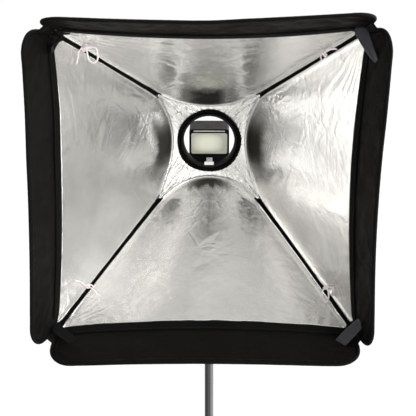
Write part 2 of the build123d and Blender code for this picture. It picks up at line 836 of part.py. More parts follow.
def flash_foot():
    plate_bot = CHANNEL_FLOOR + 0.15
    post_bot = 512.4
    with BuildPart() as foot:
        with BuildSketch(at_z(plate_bot)):
            with Locations((0, SHOE_Y)):
                RectangleRounded(18.4, 18.4, 1)
        extrude(amount=2.0)
        # post, then the flange inside the body: (base z, radius, length)
        for z, radius, length in ((post_bot, 6.0, BODY_BOT + 3.4 - post_bot),
                                  (BODY_BOT + 2.6, 8.0, 1.6)):
            with BuildSketch(at_z(z)):
                with Locations((0, SHOE_Y)):
                    Circle(radius)
            extrude(amount=length)
    return foot.part


def foot_lock_wheel():
    with BuildPart() as wheel:
        with BuildSketch(at_z(514.6)):
            with Locations((0, SHOE_Y)):
                Circle(15.0)
                with PolarLocations(15.4, 24):
                    Circle(0.9, mode=Mode.SUBTRACT)
                Circle(6.08, mode=Mode.SUBTRACT)
        extrude(amount=5.8)
    return wheel.part


# ------------------------------------------------------------------ flash head
HEAD_Z = AXIS_Z - 12.0
HEAD_W = 78.0
HEAD_H = 55.0
HEAD_BOT = HEAD_Z - HEAD_H / 2
HEAD_TOP = HEAD_Z + HEAD_H / 2
HEAD_FRONT = -21.0
HEAD_REAR = 66.0
DOME = 18  # length of the domed rear end
LENS_Z = HEAD_Z - 1
HINGE_Y = 57.0
HINGE_Z = AXIS_Z - 33.0
HINGE_R = 9.0
SWIVEL_Y = SHOE_Y


def swivel_neck():
    block_bot = BODY_TOP + 2
    with BuildPart() as neck:
        with BuildSketch(at_z(BODY_TOP + 0.3)):
            with Locations((0, SWIVEL_Y)):
                Circle(25)
        extrude(amount=4.0)
        fillet(neck.edges().sort_by(Axis.Z)[-1], 1.2)
        with BuildSketch(at_z(BODY_TOP - 3.2)):
            with Locations((0, SWIVEL_Y)):
                Circle(14.0)
        extrude(amount=4.0)
        # hinge block between the head's cheeks
        with BuildSketch(at_x(-17)):
            with BuildLine():
                Polyline((HINGE_Y - HINGE_R, block_bot), (HINGE_Y + HINGE_R, block_bot),
                         (HINGE_Y + HINGE_R, HINGE_Z), (HINGE_Y - HINGE_R, HINGE_Z), close=True)
            make_face()
            with Locations((HINGE_Y, HINGE_Z)):
                Circle(HINGE_R)
        extrude(amount=34)
        # hinge pin, one piece with the block
        with BuildSketch(at_x(-25.5)):
            with Locations((HINGE_Y, HINGE_Z)):
                Circle(3.0)
        extrude(amount=51)
    return neck.part


def flash_head():
    # domed rear end, narrower and rounder toward the back:
    # (distance forward of the rear, width, height, corner radius)
    dome = ((DOME, HEAD_W, HEAD_H, 6.0), (12, HEAD_W - 1.6, HEAD_H - 0.4, 10.0),
            (5, HEAD_W - 9.0, HEAD_H - 2.6, 16.0), (0, HEAD_W - 22.0, HEAD_H - 8.0, 20.0))
    room_front, room_rear = HINGE_Y - 14, HEAD_REAR + 1
    room_bot, room_top = HEAD_BOT - 1, HINGE_Z + 9.6
    with BuildPart() as head:
        with BuildSketch(at_y(HEAD_REAR - DOME)):
            with Locations((0, HEAD_Z)):
                RectangleRounded(HEAD_W, HEAD_H, 6)
        extrude(amount=HEAD_REAR - DOME - HEAD_FRONT)
        for forward, width, height, corner in dome:
            with BuildSketch(at_y(HEAD_REAR - forward)):
                with Locations((0, HEAD_Z)):
                    RectangleRounded(width, height, corner)
        loft()
        # cavity
        with BuildSketch(at_y(HEAD_FRONT + 62)):
            with Locations((0, LENS_Z)):
                RectangleRounded(70.4, 41.4, 4)
        extrude(amount=62, mode=Mode.SUBTRACT)
        # slot for the pull-out panels, above the window
        with BuildSketch(at_y(HEAD_FRONT + 66)):
            with Locations((0, HEAD_TOP - 3.6)):
                Rectangle(62, 3.4)
        extrude(amount=66, mode=Mode.SUBTRACT)
        # room for the hinge block, underneath and behind
        with BuildSketch(at_x(-17.5)):
            with BuildLine():
                Polyline((room_front, room_bot), (room_rear, room_bot), (room_rear, room_top),
                         (room_front, room_top), close=True)
            make_face()
        extrude(amount=35, mode=Mode.SUBTRACT)
        # hinge pin hole
        with BuildSketch(at_x(-26)):
            with Locations((HINGE_Y, HINGE_Z)):
                Circle(3.04)
        extrude(amount=52, mode=Mode.SUBTRACT)
    return head.part


def fresnel_lens():
    thickness = 2.8
    with BuildPart() as lens:
        with BuildSketch(at_y(HEAD_FRONT + thickness)):
            with Locations((0, LENS_Z)):
                RectangleRounded(70, 41, 3.8)
        extrude(amount=thickness)
        # grooves across the rear face
        with BuildSketch(at_y(HEAD_FRONT + thickness)):
            with Locations(*[(0, LENS_Z + 3.0 * k) for k in range(-5, 6)]):
                Rectangle(64, 1.2)
        extrude(amount=0.8, mode=Mode.SUBTRACT)
    return lens.part


def flash_reflector():
    # outside, then inside: (distance behind the head's front, width, height, corner radius)
    outside = ((5, 66, 37, 3), (34, 40, 14, 3))
    inside = ((4.9, 64, 35, 2.5), (32.5, 38, 12, 2.5))
    with BuildPart() as reflector:
        for stations, mode in ((outside, Mode.ADD), (inside, Mode.SUBTRACT)):
            for back, width, height, corner in stations:
                with BuildSketch(at_y(HEAD_FRONT + back)):
                    with Locations((0, LENS_Z)):
                        RectangleRounded(width, height, corner)
            loft(mode=mode)
    return reflector.part


def xenon_tube():
    with BuildPart() as xenon:
        with BuildSketch(at_x(-17.5)):
            with Locations((HEAD_FRONT + 26, LENS_Z)):
                Circle(2.6)
        extrude(amount=35)
    return xenon.part


def pull_out(depth, below_top, thickness, length):
    """Flat panel in the slot above the lens, from depth behind the head's front."""
    with BuildPart() as panel:
        with BuildSketch(at_y(HEAD_FRONT + depth)):
            with Locations((0, HEAD_TOP - below_top)):
                Rectangle(61, thickness)
        extrude(amount=length)
    return panel.part


def bounce_card():
    return pull_out(depth=60, below_top=4.4, thickness=1.0, length=60.6)


def wide_panel():
    return pull_out(depth=58, below_top=3.0, thickness=1.2, length=58.9)


# ------------------------------------------------------------------ build and save
for number, side in enumerate(SIDES):
    outward = at_side(number, 0, 0, 1) - at_side(number, 0, 0, 0)
    hoop_planes = loop_planes(hoop_points(number), outward, HOOP_SPANS)
    save(side_panel(number), "panel_" + side)
    save(front_lip(number), "front_lip_" + side)
    save(diffuser_tape(number), "diffuser_tape_" + side)
    save(spring_hoop(hoop_planes), "spring_hoop_" + side)
    save(edge_binding(hoop_planes), "edge_binding_" + side)

for side, corners in CORNERS_OF.items():
    save(corner_straps(corners), "corner_straps_" + side)
    save(baffle_cords(corners), "baffle_cords_" + side)

for name, x in BUTTON_X.items():
    save(control_button(x), "button_" + name)

# these pieces are named after their functions
for build in (
    rear_fabric, collar_hem, speed_ring, hem_catch, l_bracket, ring_screws,
    tilt_head, arm_screw, stand_socket, tilt_pivot_bolt, tilt_lever, stand_clamp_knob,
    stand_tube, stand_spigot, cold_shoe, shoe_thumb_screw,
    flash_body, sensor_window, focus_lamp_window, display_window, select_dial,
    power_switch, battery_door, battery_cells, flash_foot, foot_lock_wheel,
    swivel_neck, flash_head, fresnel_lens, flash_reflector, xenon_tube,
    bounce_card, wide_panel,
):
    save(build(), build.__name__)
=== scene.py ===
"""Looks of a square softbox of sprung fabric, with finishes for the hard CAD parts around it.

The softbox's axis runs along y at height AXIS_Z: the collar hem is at the back and the open
rim faces -y. Its four sides are numbered clockwise from the top, as seen from the front.
Shapes are worked out in mm and made into meshes in metres, +Z up.

Words used throughout, on any side:
  along   distance along the side, across the axis (the next side lies at +along)
  out     distance out from the axis
  down    distance from the back of the sloping panel, or of the lip, towards the front
  across  -1 to 1 from one end of the side to the other
  run     0 to 1 from the back to the front of the sloping panel
  height  distance inwards from the middle of the sheet
"""
import bmesh
import bpy
import json
import math
import numpy as np
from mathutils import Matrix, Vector


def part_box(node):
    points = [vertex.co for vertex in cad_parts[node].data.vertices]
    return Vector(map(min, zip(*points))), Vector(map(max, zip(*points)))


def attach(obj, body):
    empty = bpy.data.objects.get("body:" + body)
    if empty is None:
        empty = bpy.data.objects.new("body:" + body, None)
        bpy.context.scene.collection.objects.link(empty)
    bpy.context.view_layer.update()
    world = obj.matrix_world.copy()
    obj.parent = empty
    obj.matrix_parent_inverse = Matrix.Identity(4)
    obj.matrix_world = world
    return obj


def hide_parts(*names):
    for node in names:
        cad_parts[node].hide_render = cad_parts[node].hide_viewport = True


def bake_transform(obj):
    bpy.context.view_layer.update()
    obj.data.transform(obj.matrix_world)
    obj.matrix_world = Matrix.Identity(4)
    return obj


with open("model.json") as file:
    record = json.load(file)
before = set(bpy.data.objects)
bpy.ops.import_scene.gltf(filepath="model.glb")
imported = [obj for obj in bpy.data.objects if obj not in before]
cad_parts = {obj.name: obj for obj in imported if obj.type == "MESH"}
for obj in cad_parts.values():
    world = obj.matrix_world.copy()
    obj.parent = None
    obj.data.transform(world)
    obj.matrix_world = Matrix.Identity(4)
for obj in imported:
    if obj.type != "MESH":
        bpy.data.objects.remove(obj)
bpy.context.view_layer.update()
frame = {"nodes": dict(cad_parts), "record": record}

# ------------------------------------------------------------------ driving dimensions, mm
MM = 1000.0  # mm in a metre
hem_low, hem_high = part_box("collar_hem")
AXIS_Z = 0.5 * MM * (hem_low.z + hem_high.z)
HEM_Y, HEM_RADIUS = -49.0, 60.3     # where the rear fabric meets the collar hem
BACK_Y, BACK_OUT = -97.0, 98.5      # back of the sloping panels
FOLD_Y, FOLD_OUT = -365.0, 266.0    # fold between the slope and the front lip
RIM_Y, RIM_OUT = -455.0, 296.6      # front edge of the lip
SEAM_GAP = 5.2                      # each side stops this short of its corner
BACK_HALF = BACK_OUT - SEAM_GAP
FOLD_HALF = FOLD_OUT - SEAM_GAP
TONGUE = 51.0                       # how far the back edge bulges backwards
FOLD_BOW, RIM_BOW = 12.8, 6.0       # inward bow at the middle of the fold and rim
SLOPE_L = math.hypot(FOLD_OUT - BACK_OUT, FOLD_Y - BACK_Y)
LIP_L = math.hypot(RIM_OUT - FOLD_OUT, RIM_Y - FOLD_Y)
LIP_CORNER = 38.0                   # corner radius of the lip
LIP_FLARE, FLARE_L = 11.0, 45.0     # the lip widens by this much over this length
REAR_UP, REAR_DOWN = 5.0, 9.0       # how far the rear corners are drawn up and down
REAR_CORNER = 98.0
SLOPE_NORMAL = (0.530, 0.848)       # forward and inward parts of the slope's normal
LIP_NORMAL = (0.322, 0.947)
SEAM_ACROSS = (0.883, 0.468)        # square to the seam in the panel: along and up the slope
SEAM_STRETCH = 1.131                # length along the side for one mm square to the seam
SIDES = ["top", "right", "bottom", "left"]


# ------------------------------------------------------------------ places on a side
def square_at(side, along, y, out):
    """Points in mm on a side of the softbox before it hangs out of square."""
    turn = math.radians(90 * side)
    along, y, out = np.broadcast_arrays(*(np.asarray(v, float) for v in (along, y, out)))
    x = along * math.cos(turn) + out * math.sin(turn)
    z = AXIS_Z - along * math.sin(turn) + out * math.cos(turn)
    return np.stack([x, y, z], -1)


def hang(points):
    """Moves points by the few mm that the sprung fabric hangs out of square."""
    points = np.asarray(points, float)
    x, y, z = points[..., 0], points[..., 1], points[..., 2] - AXIS_Z
    slope = np.clip((BACK_Y - y) / (BACK_Y - FOLD_Y), 0.0, 1.0)
    lip = np.clip((FOLD_Y - y) / (FOLD_Y - RIM_Y), 0.0, 1.05)
    x_part, z_part = np.clip(x / FOLD_OUT, -1, 1), np.clip(z / FOLD_OUT, -1, 1)
    # drift in x of the left and right sides, by height
    left = np.interp(z, [-250, 0, 60, 130, 230, 300], [0.5, 0.5, 1.5, 4.5, 4.5, 0.0])
    right = np.interp(z, [-300, -60, 50, 150, 250, 300], [-8.0, -6.4, -5.0, -1.5, 2.0, 3.0])
    dx = slope * (left * (1 - x_part) / 2 + right * (1 + x_part) / 2)
    dz = slope * 3.4 * np.clip(x_part, 0, 1) ** 2 * np.clip(z_part, 0, 1)
    # each lip stands out by its own amount
    fan_left = np.interp(z, [-300, 0, 130, 260], [5.5, 5.5, 8.5, 7.5])
    fan_right = np.interp(z, [-300, -100, 0, 130, 260], [-4.0, -3.0, -1.0, 2.5, 2.0])
    fan_top = np.interp(x, [-260, 0, 100, 260], [3.6, 2.6, 6.5, 8.5])
    fan_bottom = np.interp(x, [-260, 0, 200, 260], [5.0, 4.5, 4.5, 2.0])
    beside = np.clip((np.abs(x) - np.abs(z)) / 16.0 + 0.5, 0, 1)
    dx += lip * beside * np.where(x > 0, fan_right, -fan_left)
    dz += lip * (1 - beside) * np.where(z > 0, fan_top, -fan_bottom)
    # the rear corners are drawn apart up and down, most at the back of the panels
    rear = np.where(y < BACK_Y, np.clip((y - FOLD_Y) / (BACK_Y - FOLD_Y), 0, 1),
                    np.clip((HEM_Y - y) / (HEM_Y - BACK_Y), 0, 1))
    corner = 0.3 + 0.7 * np.clip(np.abs(x) / REAR_CORNER, 0, 1)
    pull = np.where(z > 0, REAR_UP, REAR_DOWN)
    dz += rear * corner * np.clip(z / REAR_CORNER, -1, 1) * pull
    return np.stack([x + dx, y, points[..., 2] + dz], -1)


def side_at(side, along, y, out):
    return hang(square_at(side, along, y, out))


def direction(side, along, y, out):
    return square_at(side, along, y, out) - square_at(side, 0, 0, 0)


def towards_axis(side):
    """Unit vector from the corner at the side's +along end towards the axis."""
    return direction(side, -1, 0, -1) / math.sqrt(2)


def on_slope(down):
    """y and out of the flat slope."""
    run = down / SLOPE_L
    return BACK_Y + (FOLD_Y - BACK_Y) * run, BACK_OUT + (FOLD_OUT - BACK_OUT) * run


def seam_half(run):
    """Half width of the sloping panel."""
    return BACK_HALF + (FOLD_OUT - BACK_OUT) * run


def tongue_down(across):
    """Where the bulging back edge lies."""
    return -TONGUE * (1 - across * across)


def slope_at(side, along, down, across, run, height):
    """Points on the bowed sloping panel."""
    y, out = on_slope(down)
    out = out - FOLD_BOW * (1 - across * across) * run
    return side_at(side, along, y - SLOPE_NORMAL[0] * height, out - SLOPE_NORMAL[1] * height)


def lip_half(down, inset=0.0):
    """Half width of the flared, round-cornered lip."""
    flare = FOLD_HALF + LIP_FLARE * np.minimum(down, FLARE_L) / FLARE_L
    past = np.maximum(0.0, down - (LIP_L - LIP_CORNER))
    round_part = np.sqrt(np.maximum(0.0, (LIP_CORNER - inset) ** 2 - past * past))
    return flare - LIP_CORNER + round_part


def on_lip(down, across):
    """y and out of the bowed lip."""
    part = down / LIP_L
    bow = (FOLD_BOW + (RIM_BOW - FOLD_BOW) * part) * (1 - across * across)
    return FOLD_Y + (RIM_Y - FOLD_Y) * part, FOLD_OUT + (RIM_OUT - FOLD_OUT) * part - bow


def lip_at(side, along, down, across, height):
    y, out = on_lip(down, across)
    return side_at(side, along, y - LIP_NORMAL[0] * height, out - LIP_NORMAL[1] * height)


def lip_across(side, across, down, inset, height):
    """Points on the lip placed by across, and their along."""
    along = lip_half(down, inset) * across
    return lip_at(side, along, down, across, height), along


# ------------------------------------------------------------------ noise
def grad_noise(x, y, seed):
    """Gradient noise, about -1 to 1."""
    random = np.random.RandomState(seed)
    order = random.permutation(512)
    angles = random.rand(512) * 2 * np.pi
    x, y = np.asarray(x, float), np.asarray(y, float)
    cell_x, cell_y = np.floor(x).astype(int), np.floor(y).astype(int)
    in_x, in_y = x - cell_x, y - cell_y

    def corner(i, j):
        pick = order[(order[(cell_x + i) % 512] + cell_y + j) % 512]
        return np.cos(angles[pick]) * (in_x - i) + np.sin(angles[pick]) * (in_y - j)

    ease_x = in_x**3 * (in_x * (in_x * 6 - 15) + 10)
    ease_y = in_y**3 * (in_y * (in_y * 6 - 15) + 10)
    low = corner(0, 0) * (1 - ease_x) + corner(1, 0) * ease_x
    high = corner(0, 1) * (1 - ease_x) + corner(1, 1) * ease_x
    return 1.5 * (low * (1 - ease_y) + high * ease_y)


def cloud_noise(x, y, scale, seed, octaves=3):
    """Soft noise in several octaves."""
    total, weight, weights = 0.0, 1.0, 0.0
    for k in range(octaves):
        total = total + weight * grad_noise(x / scale * 2**k + 7.3 * k,
                                            y / scale * 2**k + 3.1 * k, seed + k)
        weights += weight
        weight *= 0.5
    return total / weights


def ridged_noise(x, y, scale, seed, octaves=2):
    """Noise with sharp ridges."""
    total, weight, weights = 0.0, 1.0, 0.0
    for k in range(octaves):
        noise = grad_noise(x / scale * 2**k + 5.7 * k, y / scale * 2**k, seed + k)
        total = total + weight * (1 - np.abs(noise) * 2.2)
        weights += weight
        weight *= 0.5
    return total / weights - 0.35


def ease(t):
    """Smooth step from 0 to 1."""
    t = np.clip(t, 0, 1)
    return t * t * (3 - 2 * t)


def creases(along, down, seed, count, spread, depth, lengths, width, focus=None):
    """Heights of random straight creases, many of them aimed at the focus points."""
    random = np.random.RandomState(seed)
    total = np.zeros_like(along)
    for _ in range(count):
        mid_along = (random.rand() - 0.5) * 2 * spread
        mid_down = random.rand() * SLOPE_L * 1.02 - 10
        if focus is not None and random.rand() < 0.65:
            aim = focus[random.randint(len(focus))]
            angle = math.atan2(mid_down - aim[1], mid_along - aim[0]) + random.randn() * 0.16
        else:
            angle = random.rand() * math.pi
        length = lengths[0] + (lengths[1] - lengths[0]) * random.rand() ** 1.5
        spread_out = width * (0.6 + 0.9 * random.rand())
        rise = depth * (0.4 + 0.8 * random.rand()) * (1 if random.rand() < 0.62 else -1)
        bend = random.randn() * 0.0016
        da, dd = along - mid_along, down - mid_down
        lengthwise = da * math.cos(angle) + dd * math.sin(angle)
        aside = -da * math.sin(angle) + dd * math.cos(angle) + bend * lengthwise * lengthwise
        ends = ease((length / 2 - np.abs(lengthwise)) / (length * 0.35))
        total += rise * ends * np.exp(-np.abs(aside) / spread_out)
    return total


# ------------------------------------------------------------------ meshes
def grid_faces(rows, cols, wrap_rows=False, wrap_cols=False):
    """Quads of a grid of points stored row by row."""
    i, j = np.meshgrid(np.arange(rows if wrap_rows else rows - 1),
                       np.arange(cols if wrap_cols else cols - 1), indexing="ij")
    i, j = i.ravel(), j.ravel()
    next_i, next_j = (i + 1) % rows, (j + 1) % cols
    return np.stack([i * cols + j, i * cols + next_j,
                     next_i * cols + next_j, next_i * cols + j], 1)


def flat_uv(first, second):
    """UV pairs in mm from two arrays that broadcast together."""
    return np.stack(np.broadcast_arrays(first, second), -1).reshape(-1, 2)


def make(name, points, faces, materials, uv=None, smooth=True):
    """New mesh object from points and UVs in mm."""
    mesh = bpy.data.meshes.new(name)
    points = np.asarray(points, float).reshape(-1, 3) / MM
    mesh.from_pydata(points.tolist(), [], [list(map(int, face)) for face in faces])
    mesh.update()
    for material in materials:
        mesh.materials.append(material)
    if smooth:
        mesh.polygons.foreach_set("use_smooth", np.ones(len(mesh.polygons), bool))
    if uv is not None:
        layer = mesh.uv_layers.new(name="UVMap")
        corners = np.zeros(len(mesh.loops), np.int32)
        mesh.loops.foreach_get("vertex_index", corners)
        layer.data.foreach_set("uv", (np.asarray(uv, float)[corners] / MM).ravel())
    ob = bpy.data.objects.new(name, mesh)
    bpy.context.scene.collection.objects.link(ob)
    return ob


def thicken(ob, mm, material_offset=0):
    """Gives a sheet thickness about its middle, as plain mesh."""
    solid = ob.modifiers.new("thick", "SOLIDIFY")
    solid.thickness = mm / MM
    solid.offset = 0.0
    solid.use_even_offset = False
    solid.material_offset = material_offset
    solid.material_offset_rim = material_offset
    graph = bpy.context.evaluated_depsgraph_get()
    graph.update()
    mesh = bpy.data.meshes.new_from_object(ob.evaluated_get(graph))
    ob.modifiers.clear()
    old = ob.data
    ob.data = mesh
    mesh.name = old.name
    bpy.data.meshes.remove(old)
    return ob


def outward(ob):
    """Turns the face normals of a closed mesh outwards."""
    bm = bmesh.new()
    bm.from_mesh(ob.data)
    bmesh.ops.recalc_face_normals(bm, faces=bm.faces)
    bm.to_mesh(ob.data)
    bm.free()
    return ob


def mount(ob, body, replaced=None):
    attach(ob, body)
    if replaced:
        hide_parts(replaced)


def tube(points, radius, up, segments=12, closed=True):
    """Round tube along points; returns points, faces and UVs."""
    points = np.asarray(points, float)
    count = len(points)
    if closed:
        tangent = np.roll(points, -1, 0) - np.roll(points, 1, 0)
    else:
        tangent = np.gradient(points, axis=0)
    tangent /= np.linalg.norm(tangent, axis=1)[:, None] + 1e-12
    x_axis = np.cross(tangent, np.broadcast_to(np.asarray(up, float), points.shape))
    x_axis /= np.linalg.norm(x_axis, axis=1)[:, None] + 1e-12
    y_axis = np.cross(x_axis, tangent)
    angle = np.arange(segments) * 2 * np.pi / segments
    ring = (np.cos(angle)[None, :, None] * x_axis[:, None]
            + np.sin(angle)[None, :, None] * y_axis[:, None])
    radii = np.broadcast_to(np.asarray(radius, float), (count,))
    surface = points[:, None] + radii[:, None, None] * ring
    faces = grid_faces(count, segments, wrap_rows=closed, wrap_cols=True).tolist()
    if not closed:
        faces.append(list(range(segments))[::-1])
        faces.append([(count - 1) * segments + j for j in range(segments)])
    steps = np.linalg.norm(np.diff(points, axis=0), axis=1)
    length = np.concatenate([[0], np.cumsum(steps)])
    return surface.reshape(-1, 3), faces, flat_uv(length[:, None], angle[None] * 3.0)


def spline(points, count, closed=False):
    """Centripetal Catmull-Rom curve resampled evenly; returns its points and length."""
    p = np.asarray(points, float)
    if closed:
        padded = np.concatenate([p[-1:], p, p[:2]])
        spans = len(p)
    else:
        padded = np.concatenate([2 * p[:1] - p[1:2], p, 2 * p[-1:] - p[-2:-1]])
        spans = len(p) - 1
    curve = []
    for i in range(spans):
        p0, p1, p2, p3 = padded[i:i + 4]
        d1, d2, d3 = (max(np.linalg.norm(end - start), 1e-9) ** 0.5
                      for start, end in ((p0, p1), (p1, p2), (p2, p3)))
        m1 = ((p1 - p0) / d1 - (p2 - p0) / (d1 + d2) + (p2 - p1) / d2) * d2
        m2 = ((p2 - p1) / d2 - (p3 - p1) / (d2 + d3) + (p3 - p2) / d3) * d2
        for k in range(24):
            t = k / 24
            curve.append((2 * t**3 - 3 * t**2 + 1) * p1 + (t**3 - 2 * t**2 + t) * m1
                         + (-2 * t**3 + 3 * t**2) * p2 + (t**3 - t**2) * m2)
    curve.append(p[0] if closed else p[-1])
    curve = np.array(curve)
    length = np.concatenate([[0], np.cumsum(np.linalg.norm(np.diff(curve, axis=0), axis=1))])
    wanted = np.linspace(0, length[-1], count, endpoint=not closed)
    return np.stack([np.interp(wanted, length, curve[:, k]) for k in range(3)], 1), length[-1]


def relax(line, passes):
    """Smooths a line of values, its ends held."""
    line = line.copy()
    for _ in range(passes):
        line[1:-1] = 0.25 * line[:-2] + 0.5 * line[1:-1] + 0.25 * line[2:]
    return line


class Parts:
    """Collects pieces of geometry into one mesh."""
    def __init__(self):
        self.points, self.faces, self.uv, self.count = [], [], [], 0

    def add(self, points, faces, uv):
        points = np.asarray(points, float).reshape(-1, 3)
        self.points.append(points)
        self.faces += [[int(i) + self.count for i in face] for face in faces]
        self.uv.append(np.asarray(uv, float))
        self.count += len(points)

    def build(self, name, material):
        return make(name, np.concatenate(self.points), self.faces, [material],
                    np.concatenate(self.uv))


def stitch_run(parts, points, up, spacing=3.4, length=2.3, radius=0.32):
    """Sewing stitches along a line of points; up is the surface normal there."""
    steps = np.linalg.norm(np.diff(points, axis=0), axis=1)
    run = np.concatenate([[0], np.cumsum(steps)])
    for k in range(int(run[-1] / spacing)):
        places = (k + 0.5) * spacing + np.array([-0.5, -0.3, 0.3, 0.5]) * length
        stitch = np.stack([np.interp(places, run, points[:, c]) for c in range(3)], 1)
        stitch = stitch + up * np.array([-0.15, 0.16, 0.16, -0.15])[:, None]
        radii = [0.14, radius, radius, 0.14]
        parts.add(*tube(stitch, radii, up, segments=5, closed=False))


# ------------------------------------------------------------------ shader nodes
class Shader:
    """A node tree with short calls for the nodes used here; any value may be a socket."""
    def __init__(self, tree):
        self.tree = tree
        self.bsdf = tree.nodes.get("Principled BSDF")

    def put(self, node, values):
        for key, value in values.items():
            if isinstance(value, bpy.types.NodeSocket):
                self.tree.links.new(value, node.inputs[key])
            else:
                node.inputs[key].default_value = value

    def surface(self, values):
        self.put(self.bsdf, values)

    def add(self, kind, values=None, out=0, **settings):
        """Adds a node and returns the output named or numbered by out."""
        node = self.tree.nodes.new("ShaderNode" + kind)
        for key, value in settings.items():
            setattr(node, key, value)
        self.put(node, values or {})
        return node.outputs[out]

    def coords(self, kind="Object", scale=(1, 1, 1)):
        return self.add("Mapping", {"Vector": self.add("TexCoord", out=kind), "Scale": scale})

    def attribute(self, name):
        return self.add("Attribute", out="Fac", attribute_name=name)

    def noise(self, vector, scale, detail=3.0, rough=0.5, out=0):
        """Noise texture; output 0 is the value and 1 the colour."""
        return self.add("TexNoise", {"Vector": vector, "Scale": scale, "Detail": detail,
                                     "Roughness": rough, "Distortion": 0.0}, out)

    def bands(self, vector, scale, axis, **values):
        """Value of parallel bands."""
        return self.add("TexWave", {"Vector": vector, "Scale": scale, **values}, out=1,
                        wave_type="BANDS", bands_direction=axis)

    def remap(self, value, low, high, start=0.3, end=0.7, **settings):
        """Turns start..end into low..high."""
        return self.add("MapRange", {"Value": value, "From Min": start, "From Max": end,
                                     "To Min": low, "To Max": high}, **settings)

    def mix(self, factor, first, second, blend="MIX"):
        """Mixes two colours."""
        colours = [c if isinstance(c, bpy.types.NodeSocket) else (*c, 1)
                   for c in (first, second)]
        return self.add("Mix", {0: factor, 6: colours[0], 7: colours[1]}, out=2,
                        data_type="RGBA", blend_type=blend)

    def calc(self, operation, a, b=0.0, c=0.0):
        return self.add("Math", {0: a, 1: b, 2: c}, operation=operation)

    def bump(self, height, strength, distance, normal=None):
        values = {"Strength": strength, "Distance": distance, "Height": height}
        if normal is not None:
            values["Normal"] = normal
        return self.add("Bump", values)

    def weave(self, vector, period, twill=False):
        """Over-under thread height from two sets of bands, period in mm."""
        scale = BAND_SCALE / (period / MM)
        warp = self.bands(vector, scale, "X")
        weft = self.bands(vector, scale, "DIAGONAL" if twill else "Y")
        return self.calc("MAXIMUM", warp, weft)


BAND_SCALE = 0.3142  # wave texture scale for bands one metre apart


def new_material(name):
    material = bpy.data.materials.new(name)
    material.use_nodes = True
    return material, Shader(material.node_tree)


def scaled(colour, factor=1.0, plus=0.0):
    """Colour times factor plus an offset, no channel above 1."""
    return [min(1, c * factor + plus) for c in colour]


# ------------------------------------------------------------------ fabric materials
def crinkle_normal(sh, place, uv, crinkle):
    """Fold memory, long fibre creases, foil crinkle and the weave under the foil."""
    drift = sh.noise(place, scale=9.0, detail=2.0, out=1)
    drift = sh.add("VectorMath", {0: drift, "Scale": 0.03}, operation="SCALE")
    warped = sh.add("VectorMath", {0: place, 1: drift}, operation="ADD")
    normal = None
    # nets of faint creases: cell scale, crease width, strength, depth
    for scale, width, strength, depth in ((19.0, 0.06, 0.32, 0.010), (47.0, 0.07, 0.22, 0.005)):
        net = sh.add("TexVoronoi", {"Vector": warped, "Scale": scale},
                     feature="DISTANCE_TO_EDGE")
        ridge = sh.calc("MINIMUM", net, width)
        normal = sh.bump(ridge, strength * crinkle, depth, normal)
    # long creases, 120 by 15 mm units: angle and offset of each set
    crease_width = 0.050
    crisp = sh.attribute("crisp")
    for angle, offset in ((0.95, 0.0), (-0.8, 40.0), (1.55, 90.0), (0.2, 150.0)):
        turned = sh.add("Mapping", {"Vector": uv, "Rotation": (0, 0, angle),
                                    "Scale": (1 / 120.0, 1 / 15.0, 1.0),
                                    "Location": (offset, offset * 0.7, 0)})
        fibre = sh.noise(turned, scale=1.0, detail=1.6)
        away = sh.calc("ABSOLUTE", sh.calc("SUBTRACT", fibre, 0.5))
        line = sh.calc("MINIMUM", away, crease_width)
        patch = sh.noise(place, scale=7.0 + offset * 0.02, detail=2)
        sparse = sh.remap(patch, 0.0, 1.0, start=0.47, end=0.60)
        line = sh.calc("MULTIPLY", sh.calc("SUBTRACT", crease_width, line), sparse)
        line = sh.calc("MULTIPLY", line, crisp)
        normal = sh.bump(line, 0.9 * crinkle, 0.010, normal)
    crumple = sh.noise(place, scale=70, detail=4, rough=0.6)
    normal = sh.bump(crumple, 0.45 * crinkle, 0.0022, normal)
    grain = sh.noise(place, scale=420, detail=3, rough=0.6)
    normal = sh.bump(grain, 0.25 * crinkle, 0.0004, normal)
    return sh.bump(sh.weave(uv, period=0.9), 0.10, 0.0001, normal)


def silver_material(name, tint, rough, crinkle, glow):
    """Silver foil on cloth, darkened by painted shade and brightened by painted light (lift and
    glow).
    """
    material, sh = new_material(name)
    place = sh.coords()
    uv = sh.coords("UV")
    big = sh.noise(place, scale=9)
    fine = sh.noise(place, scale=130, detail=5, rough=0.62)
    colour = sh.mix(sh.remap(big, 0, 1), scaled(tint, 0.86), scaled(tint, 0.95))
    speckle = sh.calc("MULTIPLY", sh.remap(fine, 0, 1), 0.18)
    colour = sh.mix(speckle, colour, scaled(tint, 0.76))
    # painted shade: the silver is darker, rougher and duller towards the back of each lining,
    # standing in for dark reflections there
    painted_shade = sh.attribute("painted_shade")
    shine = sh.remap(sh.noise(place, scale=26, detail=4, rough=0.6), rough[0], rough[1])
    sh.surface({
        "Base Color": sh.mix(painted_shade, colour, (0.030, 0.029, 0.024)),
        "Metallic": 0.86,
        "Roughness": sh.calc("MULTIPLY_ADD", painted_shade, 0.22, shine),
        "Specular Tint": sh.mix(painted_shade, (1, 1, 1), (0.04, 0.04, 0.035)),
        "Specular IOR Level": sh.calc("MULTIPLY_ADD", painted_shade, -0.5, 0.5),
        "Diffuse Roughness": 0.3,
        # painted light: lift and glow make the silver glow, standing in for light bounced inside
        # the box
        "Emission Color": (1.0, 0.985, 0.955, 1),
        "Emission Strength": sh.calc("ADD", sh.attribute("lift"), glow),
        "Normal": crinkle_normal(sh, place, uv, crinkle),
    })
    return material


def cloth_colour(sh, place, threads, base, lighter):
    """Blotchy cloth with a painted highlight on the thread tops and pale lint."""
    light = scaled(base, lighter)
    blotch = sh.remap(sh.noise(place, scale=11, detail=4, rough=0.55), 0, 1)
    colour = sh.mix(blotch, scaled(base, 0.75), light)
    # painted highlight: thread tops lighter than the hollows between them
    colour = sh.mix(sh.calc("MULTIPLY", threads, 0.35), colour, scaled(light, 1.35))
    lint = sh.remap(sh.noise(place, scale=900, detail=2), 0, 0.2, start=0.74, end=0.82)
    return sh.mix(lint, colour, scaled(base, plus=0.06))


